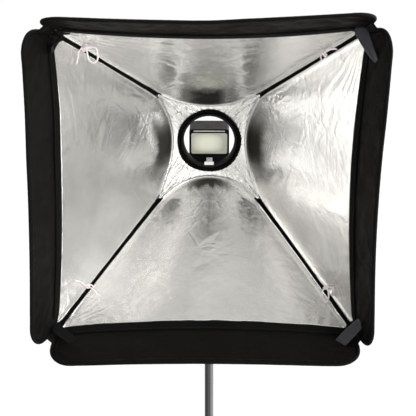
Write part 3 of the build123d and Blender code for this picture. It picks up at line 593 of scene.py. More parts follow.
def painted_rib_sheen(sh, dark, pale):
    """Uneven ribs across the UV's second direction, the pale ones a painted sheen."""
    ribs = sh.bands(sh.coords("UV"), 0.105, "Y", Distortion=1.6, Detail=2.0)
    return sh.mix(sh.remap(ribs, 0, 1, start=0.25, end=0.85), dark, pale)


def cloth_material(name, base, period, rough, sheen, twill=False, lighter=1.6,
                   weave_bump=0.35, specular=0.35, crease=0.3, glow=0.0, ribs=None):
    """Woven cloth; with ribs, the dark and pale rib colours take the place of base, the pale one
    a painted sheen.
    """
    material, sh = new_material(name)
    place = sh.coords()
    threads = sh.weave(sh.coords("UV"), period, twill)
    colour = painted_rib_sheen(sh, *ribs) if ribs else cloth_colour(sh, place, threads, base, lighter)
    normal = sh.bump(sh.noise(place, scale=45, detail=4, rough=0.55), crease, 0.003)
    normal = sh.bump(threads, weave_bump, period * 0.00022, normal)
    normal = sh.bump(sh.noise(place, scale=1400, detail=2), 0.12, 0.0002, normal)
    sh.surface({
        "Base Color": colour,
        "Roughness": sh.remap(sh.noise(place, scale=35), rough - 0.07, rough + 0.08),
        "Specular IOR Level": specular,
        "Sheen Weight": sheen,
        "Sheen Roughness": 0.4,
        "Sheen Tint": (0.8, 0.8, 0.82, 1),
        "Normal": normal,
    })
    # glow is painted light: the cloth glows in its own colour though it is no lamp
    if glow > 0:
        sh.surface({"Emission Color": colour, "Emission Strength": glow})
    return material


# Cloths: base colour, weave period in mm, roughness, sheen, other settings.
CLOTHS = {
    "black_shell": ((0.0045, 0.0045, 0.0050), 0.8, 0.62, 0.02, dict(specular=0.10)),
    "black_nylon": ((0.0032, 0.0031, 0.0027), 0.8, 0.56, 0.012,
                    dict(crease=0.6, specular=0.06)),
    "loop_tape": ((0.0035, 0.0035, 0.0033), 1.6, 0.95, 0.03,
                  dict(weave_bump=0.8, specular=0.06, lighter=1.3)),
    "binding_webbing": ((0.0028, 0.0028, 0.0028), 1.3, 0.7, 0.01,
                        dict(twill=True, weave_bump=0.7, specular=0.06)),
    "elastic_strap": ((0.0040, 0.0042, 0.0055), 1.5, 0.5, 0.03,
                      dict(weave_bump=0.8, specular=0.09, lighter=1.8)),
    # the pale rib colour is a painted sheen along the strap's ribs
    "strap_sheen": (None, 1.7, 0.36, 0.35,
                    dict(weave_bump=1.0, specular=0.55, crease=0.6,
                         ribs=((0.016, 0.016, 0.024), (0.22, 0.22, 0.32)))),
    "sewing_thread": ((0.010, 0.010, 0.011), 0.5, 0.5, 0.04, dict(specular=0.15)),
    # elastic_cord's glow is painted light
    "elastic_cord": ((0.95, 0.83, 0.86), 1.1, 0.6, 0.3,
                     dict(twill=True, weave_bump=0.9, lighter=1.06, glow=0.08)),
    "collar_elastic": ((0.0022, 0.0022, 0.0020), 1.3, 0.7, 0.01,
                       dict(weave_bump=0.6, specular=0.06)),
}
FABRIC = {
    "silver_laminate": silver_material("silver_laminate", tint=(1.0, 0.995, 0.975),
                                       rough=(0.14, 0.23), crinkle=0.5, glow=0.0),
    # silver_rear's glow is painted light, standing in for light bounced inside the box
    "silver_rear": silver_material("silver_rear", tint=(1.0, 0.995, 0.985),
                                   rough=(0.22, 0.34), crinkle=0.55, glow=0.125),
}
for cloth, (*settings, others) in CLOTHS.items():
    FABRIC[cloth] = cloth_material(cloth, *settings, **others)


# ------------------------------------------------------------------ hard materials
def hard_material(name, base, rough, metal, grain, grain_bump, grain_depth=0.0002, wear=0.0,
                  wear_colour=(0.35, 0.35, 0.36), coat=0.0, vary=0.2, specular=0.5,
                  scratch=0.0):
    """Paint, plastic or metal with dust, and optionally worn edges and scratches."""
    material, sh = new_material(name)
    place = sh.coords()
    big = sh.noise(place, scale=16, detail=4, rough=0.55)
    colour = sh.mix(sh.remap(big, 0, 1), scaled(base, 1 - vary), scaled(base, 1 + vary))
    dust = sh.noise(place, scale=260, detail=4, rough=0.6)
    dust = sh.remap(dust, 0, 0.06, start=0.60, end=0.75)
    colour = sh.mix(dust, colour, scaled(base, plus=0.16))
    shine = sh.remap(sh.noise(place, scale=40, detail=4, rough=0.6),
                     rough * 0.85, min(1.0, rough * 1.2))
    if wear > 0:
        # edges are where the bevelled normal leaves the true one
        bevelled = sh.add("Bevel", {"Radius": 0.0011}, samples=3)
        normal = sh.add("NewGeometry", out="Normal")
        match = sh.add("VectorMath", {0: bevelled, 1: normal}, out=1, operation="DOT_PRODUCT")
        edge = sh.remap(match, 1.0, 0.0, start=0.80, end=0.985)
        patches = sh.remap(sh.noise(place, scale=90, detail=5, rough=0.65), 0, 1,
                           start=0.46, end=0.60)
        worn = sh.calc("MULTIPLY", sh.calc("MULTIPLY", edge, patches), wear)
        colour = sh.mix(worn, colour, wear_colour)
        shine = sh.add("Mix", {0: worn, 2: shine, 3: 0.32}, data_type="FLOAT")
    normal = sh.bump(sh.noise(place, scale=grain, detail=3, rough=0.6), grain_bump, grain_depth)
    if scratch > 0:
        streaks = sh.noise(sh.coords(scale=(1, 1, 0.04)), scale=900, detail=3, rough=0.6)
        normal = sh.bump(streaks, scratch, 0.0001, normal)
    sh.surface({"Base Color": colour, "Roughness": shine, "Metallic": metal,
                "Specular IOR Level": specular, "Coat Weight": coat, "Normal": normal})
    return material


def lens_material(name, glow):
    """Pale ribbed lens with painted light: brighter towards the middle, painted shade at the
    rim, painted highlights on the ribs and a glow.
    """
    material, sh = new_material(name)
    place = sh.coords()
    box = sh.add("SeparateXYZ", {"Vector": sh.add("TexCoord", out="Generated")}).node.outputs
    powers = []
    # box coordinate, its centre, fall-off exponent
    for part, centre, exponent in ((box[0], 0.44, 2.4), (box[2], 0.52, 3.0)):
        away = sh.calc("ABSOLUTE", sh.calc("SUBTRACT", part, centre))
        powers.append(sh.calc("POWER", sh.calc("MULTIPLY", away, 2.1), exponent))
    # painted shade: the lens darkens towards its rim and is brightest in the middle
    rim = sh.remap(sh.calc("ADD", *powers), 0, 1, start=0.05, end=0.95)
    colour = sh.mix(rim, (0.80, 0.81, 0.68), (0.40, 0.41, 0.33))
    ribs = sh.calc("MAXIMUM", sh.bands(place, BAND_SCALE / 0.0026, "X"),
                   sh.bands(place, BAND_SCALE / 0.0016, "Z"))
    # painted highlight: paler colour on the ribs
    colour = sh.mix(sh.calc("MULTIPLY", ribs, 0.22), colour, (0.93, 0.94, 0.86))
    sh.surface({
        "Base Color": colour,
        "Roughness": 0.22,
        "Specular IOR Level": 0.6,
        "Transmission Weight": 0.15,
        "Subsurface Weight": 0.15,
        "Subsurface Radius": (0.004, 0.004, 0.003),
        "Coat Weight": 0.4,
        "Emission Color": colour,
        "Emission Strength": glow,
        "Normal": sh.bump(ribs, 0.5, 0.0003),
    })
    return material


def glass_material(name):
    material, sh = new_material(name)
    sh.surface({"Base Color": (0.92, 0.92, 0.9, 1), "Transmission Weight": 0.9,
                "Roughness": sh.remap(sh.noise(sh.coords(), scale=60), 0.03, 0.12)})
    return material


# Finishes: base colour, roughness, metallic, grain scale, grain bump, other settings.
FINISHES = {
    "ring_paint": ((0.0030, 0.0030, 0.0032), 0.42, 0.0, 500, 0.10,
                   dict(wear=0.35, wear_colour=(0.10, 0.10, 0.105), specular=0.2)),
    "bright_steel": ((0.86, 0.86, 0.87), 0.16, 1.0, 300, 0.05, dict(vary=0.06, scratch=0.15)),
    "bracket_paint": ((0.022, 0.022, 0.024), 0.46, 0.0, 750, 0.35,
                      dict(wear=0.75, wear_colour=(0.30, 0.30, 0.31), grain_depth=0.0003)),
    "zinc_steel": ((0.62, 0.62, 0.61), 0.30, 1.0, 500, 0.08, dict(vary=0.12, scratch=0.2)),
    "black_plastic": ((0.020, 0.020, 0.021), 0.48, 0.0, 900, 0.30,
                      dict(wear=0.35, wear_colour=(0.10, 0.10, 0.10))),
    "tube_paint": ((0.013, 0.013, 0.015), 0.13, 0.30, 700, 0.05,
                   dict(wear=0.4, wear_colour=(0.32, 0.32, 0.33), scratch=0.2, specular=1.0,
                        coat=1.0)),
    "spigot_steel": ((0.66, 0.66, 0.66), 0.26, 1.0, 400, 0.05, dict(vary=0.1, scratch=0.3)),
    "spring_steel": ((0.40, 0.40, 0.42), 0.30, 1.0, 300, 0.05, {}),
    "flash_plastic": ((0.0040, 0.0040, 0.0042), 0.52, 0.0, 1300, 0.45,
                      dict(wear=0.30, wear_colour=(0.05, 0.05, 0.052), grain_depth=0.00025,
                           specular=0.10)),
    "sensor_white": ((0.82, 0.82, 0.80), 0.30, 0.0, 200, 0.04, dict(vary=0.05, coat=0.3)),
    "lamp_red": ((0.060, 0.004, 0.004), 0.10, 0.0, 120, 0.03, dict(coat=0.7)),
    "display": ((0.15, 0.18, 0.15), 0.12, 0.0, 120, 0.02, dict(vary=0.08, coat=0.8)),
    "button_rubber": ((0.060, 0.060, 0.064), 0.68, 0.0, 1500, 0.3, {}),
    "control_plastic": ((0.045, 0.045, 0.048), 0.42, 0.0, 1100, 0.25,
                        dict(wear=0.35, wear_colour=(0.16, 0.16, 0.16))),
    "cell_wrap": ((0.16, 0.22, 0.19), 0.28, 0.0, 200, 0.05, dict(coat=0.4)),
    "reflector_bright": ((0.86, 0.86, 0.88), 0.12, 1.0, 200, 0.05, dict(vary=0.05)),
    "white_card": ((0.80, 0.80, 0.78), 0.55, 0.0, 700, 0.08, dict(vary=0.04)),
}
HARD = {}
for finish, (*settings, others) in FINISHES.items():
    HARD[finish] = hard_material(finish, *settings, **others)
# the flash window's glow is painted light; the flash is not lit
HARD["clear_lens"] = lens_material("clear_lens", glow=0.22)
HARD["wide_clear"] = lens_material("wide_clear", glow=0.0)
HARD["tube_glass"] = glass_material("tube_glass")

# ------------------------------------------------------------------ sloping panels
PANEL_COLS, PANEL_ROWS = 150, 110
INSET = 9.0           # the wrinkled grid stops this far inside the wire
WRAP_START = -52.0    # angle where the sheet meets the wire, degrees
# How strongly each side creases: soft billows, folds, corner fans, crisp ridges.
WRINKLING = ((0.4, 0.42, 0.95, 0.30), (0.35, 0.42, 0.45, 0.22),
             (0.30, 0.40, 0.40, 0.20), (0.35, 0.38, 0.22, 0.24))
# Corners of a panel, along and down; the two at the fold come first.
PANEL_CORNERS = [(-FOLD_OUT, SLOPE_L), (FOLD_OUT, SLOPE_L), (-BACK_OUT, 0.0), (BACK_OUT, 0.0)]


def panel_wrinkles(side, along, down, run):
    seed = 100 + 37 * side
    soft, fold, fanned, crisp = WRINKLING[side]
    height = 2.0 * soft * cloud_noise(along, down, 120, seed, 2)
    height += fold * creases(along, down, seed + 1, count=60, spread=250, depth=0.85,
                             lengths=(60, 210), width=3.0, focus=PANEL_CORNERS)
    height += fold * creases(along, down, seed + 2, count=90, spread=250, depth=0.42,
                             lengths=(22, 80), width=1.9)
    # creases fanning out of each corner
    for k, (corner_along, corner_down) in enumerate(PANEL_CORNERS):
        away = np.hypot(along - corner_along, down - corner_down)
        angle = np.arctan2(down - corner_down, along - corner_along)
        reach, rays = (95.0, 44) if k < 2 else (48.0, 22)
        fan = np.sin(angle * rays + 3.0 * grad_noise(angle * 5, away / 60, seed + 9 + k))
        height += 0.95 * fanned * fan * np.exp(-away / reach) * ease(away / 26)
    # puckers along the side edges
    from_edge = np.minimum(98 + 0.53 * np.maximum(down, 0) - np.abs(along), 400)
    pucker = np.sin(down / 2.6 + 4 * grad_noise(down / 30, 0, seed + 20))
    height += 0.7 * np.exp(-from_edge / 13.0) * pucker
    height += crisp * (0.30 * ridged_noise(along, down, 21, seed + 30, 2)
                       + 0.16 * ridged_noise(along * 0.6, down, 9.0, seed + 33, 1))
    # puckers along the fold
    pucker = np.sin(along / 4.2 + 3 * grad_noise(along / 40, 0, seed + 21))
    height += 0.8 * np.exp(-(1 - run) * SLOPE_L / 9.0) * pucker
    return height


def panel_grid(side):
    """across, run, along, down and wrinkle height over the panel inside its wire."""
    across = np.linspace(-1, 1, PANEL_COLS + 1)[None, :].repeat(PANEL_ROWS + 1, 0)
    run = np.linspace(0, 1, PANEL_ROWS + 1)[:, None].repeat(PANEL_COLS + 1, 1) ** 0.9
    back = tongue_down(across) + INSET * np.sqrt(1 + (1.1 * across) ** 2)
    waver = (1.1 * grad_noise(across * 6.0, 3.3, 400 + side)
             + 0.5 * grad_noise(across * 31.0, 0, 410 + side))
    front = SLOPE_L - 0.9 + 1.3 * waver
    down = back * (1 - run) + front * run
    along = ((BACK_HALF - INSET * SEAM_STRETCH) * across * (1 - run)
             + (FOLD_HALF - INSET * SEAM_STRETCH) * across * run)
    fade = ease((1 - np.abs(across)) * 34) * ease(run * 22)
    fade = fade * (0.25 + 0.75 * ease((1 - run) * 18))
    return across, run, along, down, panel_wrinkles(side, along, down, run) * fade


def panel_wire():
    """Wire centre line around the grid's two side edges and its back edge.

    Returns the line and its outward direction as along and down, the grid points next to
    it, their across and run, and 1 where a point lies on the back edge.
    """
    run = np.linspace(0, 1, PANEL_ROWS + 1) ** 0.9
    across = np.linspace(-1, 1, PANEL_COLS + 1)
    left = np.stack([-seam_half(run), SLOPE_L * run], 1)[::-1]
    back = np.stack([BACK_HALF * across, tongue_down(across)], 1)[1:]
    right = np.stack([seam_half(run), SLOPE_L * run], 1)[1:]
    line = np.concatenate([left, back, right])
    smooth = relax(line, 6)
    tangent = np.gradient(smooth, axis=0)
    tangent /= np.linalg.norm(tangent, axis=1)[:, None]
    outwards = np.stack([tangent[:, 1], -tangent[:, 0]], 1)
    outwards *= np.sign(np.sum(outwards * (smooth - np.array([0.0, 160.0])), 1))[:, None]
    cols = PANEL_COLS + 1
    grid_points = np.concatenate([np.arange(PANEL_ROWS, -1, -1) * cols, np.arange(1, cols),
                                  np.arange(1, PANEL_ROWS + 1) * cols + PANEL_COLS])
    line_run = np.concatenate([run[::-1], np.zeros(PANEL_COLS), run[1:]])
    line_across = np.concatenate([-np.ones(PANEL_ROWS + 1), across[1:], np.ones(PANEL_ROWS)])
    off_back = np.zeros(PANEL_ROWS + 1)
    on_back = np.concatenate([off_back, np.ones(PANEL_COLS - 1), off_back])
    return line, outwards, grid_points, line_across, line_run, on_back


def wrap_rows(side, across, run, on_back, down, inner, radius):
    """Rows (outward offset, height) that take the sheet around the wire."""
    if inner:
        seed = 600 + 11 * side
        waver = (grad_noise(down / 22 + across * 3, side, seed) * 15
                 + grad_noise(down / 8, 0, seed + 3) * 7)
        along_side = np.interp(run, [0, 0.06, 0.25, 0.55, 0.85, 1.0],
                               [-44, -46, -36, -28, -40, -46])
        end = np.where(on_back > 0.5, 41.0, along_side + waver * 0.5)
        end = relax(np.clip(end, -58, 74), 4)
    else:
        end = np.full(len(across), 84.0)
    face = 1.0 if inner else -1.0
    ones = np.ones(len(across))
    rows = [(-7.0 * ones, face * 0.9 * ones), (-5.6 * ones, face * 1.5 * ones)]
    for part in (0.0, 0.14, 0.28, 0.44, 0.62, 0.82, 1.0):
        angle = np.radians(WRAP_START + (end - WRAP_START) * part)
        rows.append((radius * np.sin(angle), face * radius * np.cos(angle)))
    return rows


def panel_sheet(side, name, material, height, inner, radius):
    """Single sheet of a panel, edges wrapped around the wire; returns it and its UVs."""
    across, run, along, down, wrinkle = panel_grid(side)
    sheet = slope_at(side, along, down, across, run, height + wrinkle).reshape(-1, 3)
    points, uvs = [sheet], [flat_uv(along, down)]
    faces = grid_faces(PANEL_ROWS + 1, PANEL_COLS + 1).tolist()
    line, outwards, previous, line_across, line_run, on_back = panel_wire()
    count = len(sheet)
    for offset, rise in wrap_rows(side, line_across, line_run, on_back, line[:, 1], inner,
                                  radius):
        place = line + outwards * offset[:, None]
        points.append(slope_at(side, place[:, 0], place[:, 1], 1.0, line_run, rise))
        uvs.append(place)
        row = count + np.arange(len(place))
        faces += np.stack([previous[:-1], row[:-1], row[1:], previous[1:]], 1).tolist()
        previous = row
        count += len(place)
    uvs = np.concatenate(uvs)
    return make(name, np.concatenate(points), faces, [material], uvs), uvs


# Painted shade at the back of each lining, standing in for dark reflections and each side's
# light level: half width, reach, depth, even shade over the side, raggedness.
PAINTED_SHADE = ((54, 126, 0.95, 0.11, 0.8), (58, 92, 0.96, 0.0, 0.45),
        (42, 34, 0.95, 0.09, 0.8), (56, 92, 0.96, 0.19, 0.45))
# Painted light spot by side, where the lining glows brighter: strength, middle along, width
# along, middle down, width down.
PAINTED_LIGHT_SPOTS = {1: (0.31, -42, 92, 140, 78), 2: (0.13, 185, 50, 228, 60),
                3: (0.15, -190, 52, 225, 65)}
CRISPNESS = (1.2, 0.30, 1.5, 1.5)


def paint_lining(ob, side, uvs):
    """Point attributes read by the silver material: painted shade, lift as painted light, and
    crisp.
    """
    along, down = uvs[:, 0], uvs[:, 1]
    half_width, reach, depth, even_shade, raggedness = PAINTED_SHADE[side]
    from_back = down - tongue_down(np.clip(along / BACK_HALF, -1, 1))
    ragged = raggedness * (12 * grad_noise(along / 14, down / 22, 950 + side)
                           + 9 * grad_noise(along / 4.5, down / 26, 960 + side))
    part = (from_back + ragged) / reach
    gap = 0.0  # lighter streak in the painted shade
    if side == 0:
        gap = 0.42 * np.exp(-((along - 34) / 9.0) ** 2)
    if side == 3:
        gap = 0.5 * np.exp(-((along + 6) / 20.0) ** 2) * ease((part - 0.50) / 0.2)
    painted_shade = (depth - gap) * np.exp(-np.abs(along + 0.6 * ragged) ** 3.4 / half_width**3.4)
    painted_shade = painted_shade * (1 - ease((part - 0.46) / 0.54)) * ease((from_back - 2.0) / 5.0 + 0.3)
    if side == 1:
        even_shade = even_shade + 0.20 * ease((along - 30) / 60) * ease((down - 40) / 60)
    painted_shade = np.maximum(painted_shade, even_shade + 0.05 * grad_noise(along / 60, down / 60, 970 + side))
    # lift is painted light: a faint glow everywhere, plus glowing spots
    lift = np.full(len(along), 0.025)
    if side in PAINTED_LIGHT_SPOTS:
        strength, mid_along, wide, mid_down, deep = PAINTED_LIGHT_SPOTS[side]
        lift += strength * np.exp(-((along - mid_along) / wide) ** 2
                                  - ((down - mid_down) / deep) ** 2)
    lift = lift * (1 - np.clip(painted_shade - even_shade, 0, 1))
    crisp = np.full(len(along), CRISPNESS[side])
    for name, values in (("painted_shade", painted_shade), ("lift", lift), ("crisp", crisp)):
        layer = ob.data.attributes.new(name, "FLOAT", "POINT")
        layer.data.foreach_set("value", values.astype(np.float32))


def build_panel(side):
    """Silver lining inside and black shell outside."""
    name = SIDES[side]
    lining, uvs = panel_sheet(side, "lining_" + name, FABRIC["silver_laminate"],
                              height=0.45, inner=True, radius=3.42)
    paint_lining(lining, side, uvs)
    mount(outward(thicken(lining, 0.34)), "side_" + name, "panel_" + name)
    shell, _ = panel_sheet(side, "shell_" + name, FABRIC["black_shell"],
                           height=-0.40, inner=False, radius=3.46)
    mount(outward(thicken(shell, 0.36)), "side_" + name)


# ------------------------------------------------------------------ front lip and its trims
def build_lip(side):
    """Thin nylon lip, slack between its hoop and the fold."""
    cols, rows = 171, 47
    inset = 2.6
    across = np.linspace(-1, 1, cols)[None, :].repeat(rows, 0)
    steps = np.sin(np.linspace(0, 1, rows) * math.pi / 2)
    down = (0.9 + (LIP_L - 2.7 - 0.9) * steps[:, None]).repeat(cols, 1)
    along = lip_half(down, inset) * across
    seed = 700 + 13 * side
    from_end = (1 - np.abs(across)) * FOLD_OUT
    height = 2.6 * cloud_noise(along, down, 150, seed, 2)
    height += 1.3 * cloud_noise(along, down * 1.4, 52, seed + 4, 2)
    height += creases(along, down, seed + 5, count=60, spread=260, depth=0.9,
                      lengths=(18, 75), width=4.0)
    # puckers at the fold, at the rim and at both ends
    at_fold = np.sin(along / 5.5 + 4 * grad_noise(along / 60, 0, seed + 6))
    at_rim = np.sin(along / 6.5 + 4 * grad_noise(along / 50, 0, seed + 7))
    height += 1.0 * np.exp(-down / 16.0) * at_fold
    height += 0.9 * np.exp(-(LIP_L - down) / 12.0) * at_rim
    height += 1.6 * np.exp(-from_end / 40.0) * np.sin((along + down * 1.6) / 7.0)
    fade = ease((1 - np.abs(across)) * 30) * ease((LIP_L - 3 - down) / 10)
    fade = fade * ease(down / 8) * (0.45 + 0.55 * ease((down - 22) / 12))
    points, _ = lip_across(side, across, down, inset, height * fade)
    lip = make("lip_" + SIDES[side], points, grid_faces(rows, cols), [FABRIC["black_nylon"]],
               flat_uv(along, down))
    mount(outward(thicken(lip, 0.9)), "side_" + SIDES[side],
          "front_lip_" + SIDES[side])


def build_joint_tape(side):
    """Nylon tape over the outside of the fold."""
    cols = 161
    across = np.linspace(-1, 1, cols)
    points, uvs = [], []

    def outside(down, height):
        return -height - 0.25 * grad_noise(across * 40, down, 1900 + side)

    for down in (-8.0, -7.4, -5.0, -2.5):
        along = (FOLD_HALF + 0.53 * down - 1.0) * across
        height = outside(down, 2.0 if down > -7.9 else 0.9)
        points.append(slope_at(side, along, SLOPE_L + down, across, 1 + down / SLOPE_L, height))
        uvs.append(flat_uv(along, down))
    for down in (0.0, 2.5, 5.0, 7.4, 8.0):
        row, along = lip_across(side, across, down, 4.0,
                                outside(down, 1.7 if down < 7.9 else 0.6))
        points.append(row)
        uvs.append(flat_uv(along, down))
    tape = make("joint_tape_" + SIDES[side], np.concatenate(points),
                grid_faces(len(points), cols), [FABRIC["black_nylon"]], np.concatenate(uvs))
    mount(outward(thicken(tape, 0.5)), "side_" + SIDES[side])


# Section of the loop tape: down and height.
LOOP_SECTION = ((2.2, 1.5), (2.4, 2.6), (5.5, 3.0), (11.0, 3.15), (16.5, 3.05),
                (20.6, 2.7), (21.0, 1.5))
LOOP_INSET = 4.2


def build_loop_tape(side):
    """Loop tape on the lip's inside, just in front of the silver."""
    cols = 221
    across = np.linspace(-1, 1, cols) * 0.935
    points, uvs = [], []
    for k, (down, height) in enumerate(LOOP_SECTION):
        jag = 0.35 * grad_noise(across * 90, k, 800 + side)
        fuzz = 0.18 * grad_noise(across * 260, k * 3.1, 820 + side)
        row, along = lip_across(side, across, down + jag, LOOP_INSET, height + fuzz)
        points.append(row)
        uvs.append(flat_uv(along, down))
    tape = make("loop_tape_" + SIDES[side], np.concatenate(points),
                grid_faces(len(points), cols), [FABRIC["loop_tape"]], np.concatenate(uvs))
    mount(outward(thicken(tape, 0.5)), "side_" + SIDES[side],
          "diffuser_tape_" + SIDES[side])


def hoop_points(side):
    """Closed ring of points on the spring hoop around one side and its lip."""
    half = []  # (along, y, out) from the middle of the back edge to near the rim's middle
    for across in (0.0, 0.25, 0.5, 0.75, 0.93):
        half.append((across * BACK_HALF, *on_slope(tongue_down(across))))
    for run in (0.07, 0.25, 0.5, 0.75, 0.95):
        y, out = on_slope(SLOPE_L * run)
        half.append((out - SEAM_GAP, y, out))
    for down in (9.0, 30.0, LIP_L - LIP_CORNER):
        half.append((float(lip_half(down)), *on_lip(down, 1.0)))
    flat = float(lip_half(LIP_L))
    for degrees in (25, 50, 75):
        angle = math.radians(degrees)
        along = flat + LIP_CORNER * math.cos(angle)
        across = along / (flat + LIP_CORNER)
        y, out = on_lip(LIP_L - LIP_CORNER + LIP_CORNER * math.sin(angle), 1.0)
        half.append((along, y, out - RIM_BOW * (1 - across * across)))
    for across in (0.8, 0.5, 0.25):
        half.append((across * (flat + LIP_CORNER), RIM_Y,
                     RIM_OUT - RIM_BOW * (1 - across * across)))
    mirrored = [(-along, y, out) for along, y, out in half[1:]][::-1]
    ring = np.array(half + [(0.0, RIM_Y, RIM_OUT - RIM_BOW)] + mirrored)
    return side_at(side, ring[:, 0], ring[:, 1], ring[:, 2])


def build_hoop(side):
    """Webbing sleeve around the hoop, and the spring wire inside it."""
    name = SIDES[side]
    count = 900
    line, length = spline(hoop_points(side), count, closed=True)
    up = direction(side, 0, 0, 1)
    arc = np.arange(count) * length / count
    radius = 3.12 + 0.10 * grad_noise(arc / 30, 0, 900 + side) + 0.05 * np.sin(arc / 1.9)
    # name, radius, segments, material, slot, CAD node
    for piece, size, segments, material, slot, replaced in (
            ("binding_", radius, 18, FABRIC["binding_webbing"], "binding_webbing",
             "edge_binding_"),
            ("wire_", 1.3, 10, HARD["spring_steel"], "spring_steel", "spring_hoop_")):
        points, faces, uv = tube(line, size, up, segments)
        ob = outward(make(piece + name, points, faces, [material], uv))
        mount(ob, "side_" + name, replaced + name)


def build_stitches(side):
    """Stitches inside the lip's edge on both faces, and along both edges of the loop tape."""
    parts = Parts()
    inset, lift = 7.2, 0.62
    inwards = -direction(side, 0, *LIP_NORMAL)
    around = np.sin(np.linspace(0.05, 1, 30) * math.pi / 2)
    down = np.concatenate([np.linspace(26, LIP_L - LIP_CORNER, 30),
                           LIP_L - LIP_CORNER + (LIP_CORNER - inset) * around])
    down = down[down < LIP_L - inset]
    for end in (1, -1):
        for face in (1, -1):
            points, _ = lip_across(side, end, down, inset, face * lift)
            stitch_run(parts, points, face * inwards)
    flat = lip_half(LIP_L)
    along = flat * np.linspace(-0.99, 0.99, 160)
    for face in (1, -1):
        points = lip_at(side, along, LIP_L - inset, along / (flat + LIP_CORNER), face * lift)
        stitch_run(parts, points, face * inwards)
    for down in (4.2, 19.2):
        across = np.linspace(-0.925, 0.925, 300)
        points, _ = lip_across(side, across, down, LOOP_INSET, 3.25)
        stitch_run(parts, points, inwards, spacing=3.0, length=2.1, radius=0.26)
    stitches = parts.build("stitches_" + SIDES[side], FABRIC["sewing_thread"])
    mount(stitches, "side_" + SIDES[side])


# ------------------------------------------------------------------ corner patches and webs
# Patch size by side, for its -along and +along corners: (along the fold, along the seam).
PATCH_SIZES = (((0.75, 1.25), (0.9, 0.8)), ((1.0, 1.0), (0.40, 0.45)),
               ((0.40, 0.45), (0.14, 0.14)), ((0.14, 0.14), (1.15, 1.25)))
# Each CAD half holds two corners, numbered by the side whose +along end meets them.
CORNER_PAIRS = (("top", (3, 0)), ("bottom", (1, 2)))


def build_patches(side):
    """Black triangles over the silver's two front corners."""
    parts = Parts()
    count = 17
    from_corner = np.linspace(0.002, 1, count)[:, None].repeat(count, 1)
    sweep = np.linspace(0, 1, count)[None, :].repeat(count, 0)
    for end, (fold_size, seam_size) in zip((-1, 1), PATCH_SIZES[side]):
        corner = np.array([FOLD_HALF + 2.6, SLOPE_L + 3.4])
        on_fold = np.array([FOLD_HALF - 29.0 * fold_size, SLOPE_L + 3.4])
        on_seam = np.array([FOLD_HALF + 1.6 - 0.53 * 24.0 * seam_size,
                            SLOPE_L - 24.0 * seam_size])
        reach = from_corner * (1 - 0.10 * np.sin(math.pi * sweep))
        place = corner + reach[..., None] * ((1 - sweep)[..., None] * (on_fold - corner)
                                             + sweep[..., None] * (on_seam - corner))
        along, down = place[..., 0] * end, place[..., 1]
        past_seam = (np.abs(along) - seam_half(down / SLOPE_L)) * SEAM_ACROSS[0]
        height = 1.5 + 0.3 * grad_noise(along / 7, down / 7, 1800 + side)
        height = height + 2.9 * ease((past_seam + 7.5) / 4.5)
        points = slope_at(side, along, down, np.clip(along / FOLD_HALF, -1, 1),
                          np.clip(down / SLOPE_L, 0, 1), height)
        parts.add(points, grid_faces(count, count), flat_uv(along, down))
    patch = parts.build("corner_patches_" + SIDES[side], FABRIC["black_nylon"])
    mount(outward(thicken(patch, 0.8)), "side_" + SIDES[side])


def slope_web(parts, side):
    """Strip closing the seam between a side's panel and the next one's."""
    rows, cols, overlap = 130, 6, 2.3
    down = np.linspace(-3.0, SLOPE_L + 1.0, rows)
    edge_along = seam_half(down / SLOPE_L) + SEAM_ACROSS[0] * overlap
    edge_down = down - SEAM_ACROSS[1] * overlap
    run = np.clip(down / SLOPE_L, 0, 1)
    height = 0.5 * grad_noise(down / 14, 0, 1850 + side)
    near = slope_at(side, edge_along, edge_down, 1.0, run, height)
    far = slope_at((side + 1) % 4, -edge_along, edge_down, 1.0, run, height)
    part = np.linspace(0, 1, cols)[None, :, None]
    web = near[:, None] * (1 - part) + far[:, None] * part
    web = web - 0.5 * np.sin(math.pi * part) * towards_axis(side)
    parts.add(web, grid_faces(rows, cols), flat_uv(part[..., 0] * 5, down[:, None]))


def lip_web(parts, side):
    """Rippled gusset between a side's lip and the next one's."""
    rows, cols = 24, 13
    down = np.linspace(-13.0, 47.0, rows)[:, None].repeat(cols, 1)
    part = np.linspace(0, 1, cols)[None, :].repeat(rows, 0)
    near, _ = lip_across(side, 1.0, down, 3.0, 1.2)
    far, _ = lip_across((side + 1) % 4, -1.0, down, 3.0, 1.2)
    sag = 1.6 * np.sin(math.pi * part) * np.sin(down / 5.0)
    web = near * (1 - part)[..., None] + far * part[..., None]
    web = web + sag[..., None] * towards_axis(side)
    parts.add(web, grid_faces(rows, cols), flat_uv(part * 12, down))


def build_webs(half, corners):
    parts = Parts()
    for side in corners:
        slope_web(parts, side)
        lip_web(parts, side)
    web = parts.build("corner_webs_" + half, FABRIC["black_nylon"])
    mount(outward(thicken(web, 0.7)), "side_" + half)


# ------------------------------------------------------------------ corner straps
# Twisted straps by corner: both edges' points at one end, then at the other (x, y, z),
# direction of the lean towards the axis, shift in y, material.
TWISTED_STRAPS = {
    0: ([(242, -385, 913.5), (266, -393, 918), (279.5, -402, 858), (284, -415, 868)],
        (-0.7, 0, -0.7), -1.5, "strap_sheen"),
    1: ([(219, -391, 354), (236, -406, 349), (271, -388, 407), (277, -405, 395)],
        (-0.7, 0, 0.7), -3.6, "strap_sheen"),
    2: ([(-218, -390, 352), (-232, -403, 347), (-266, -389, 392), (-274, -402, 382)],
        (0.7, 0, 0.7), -3.6, "binding_webbing"),
}


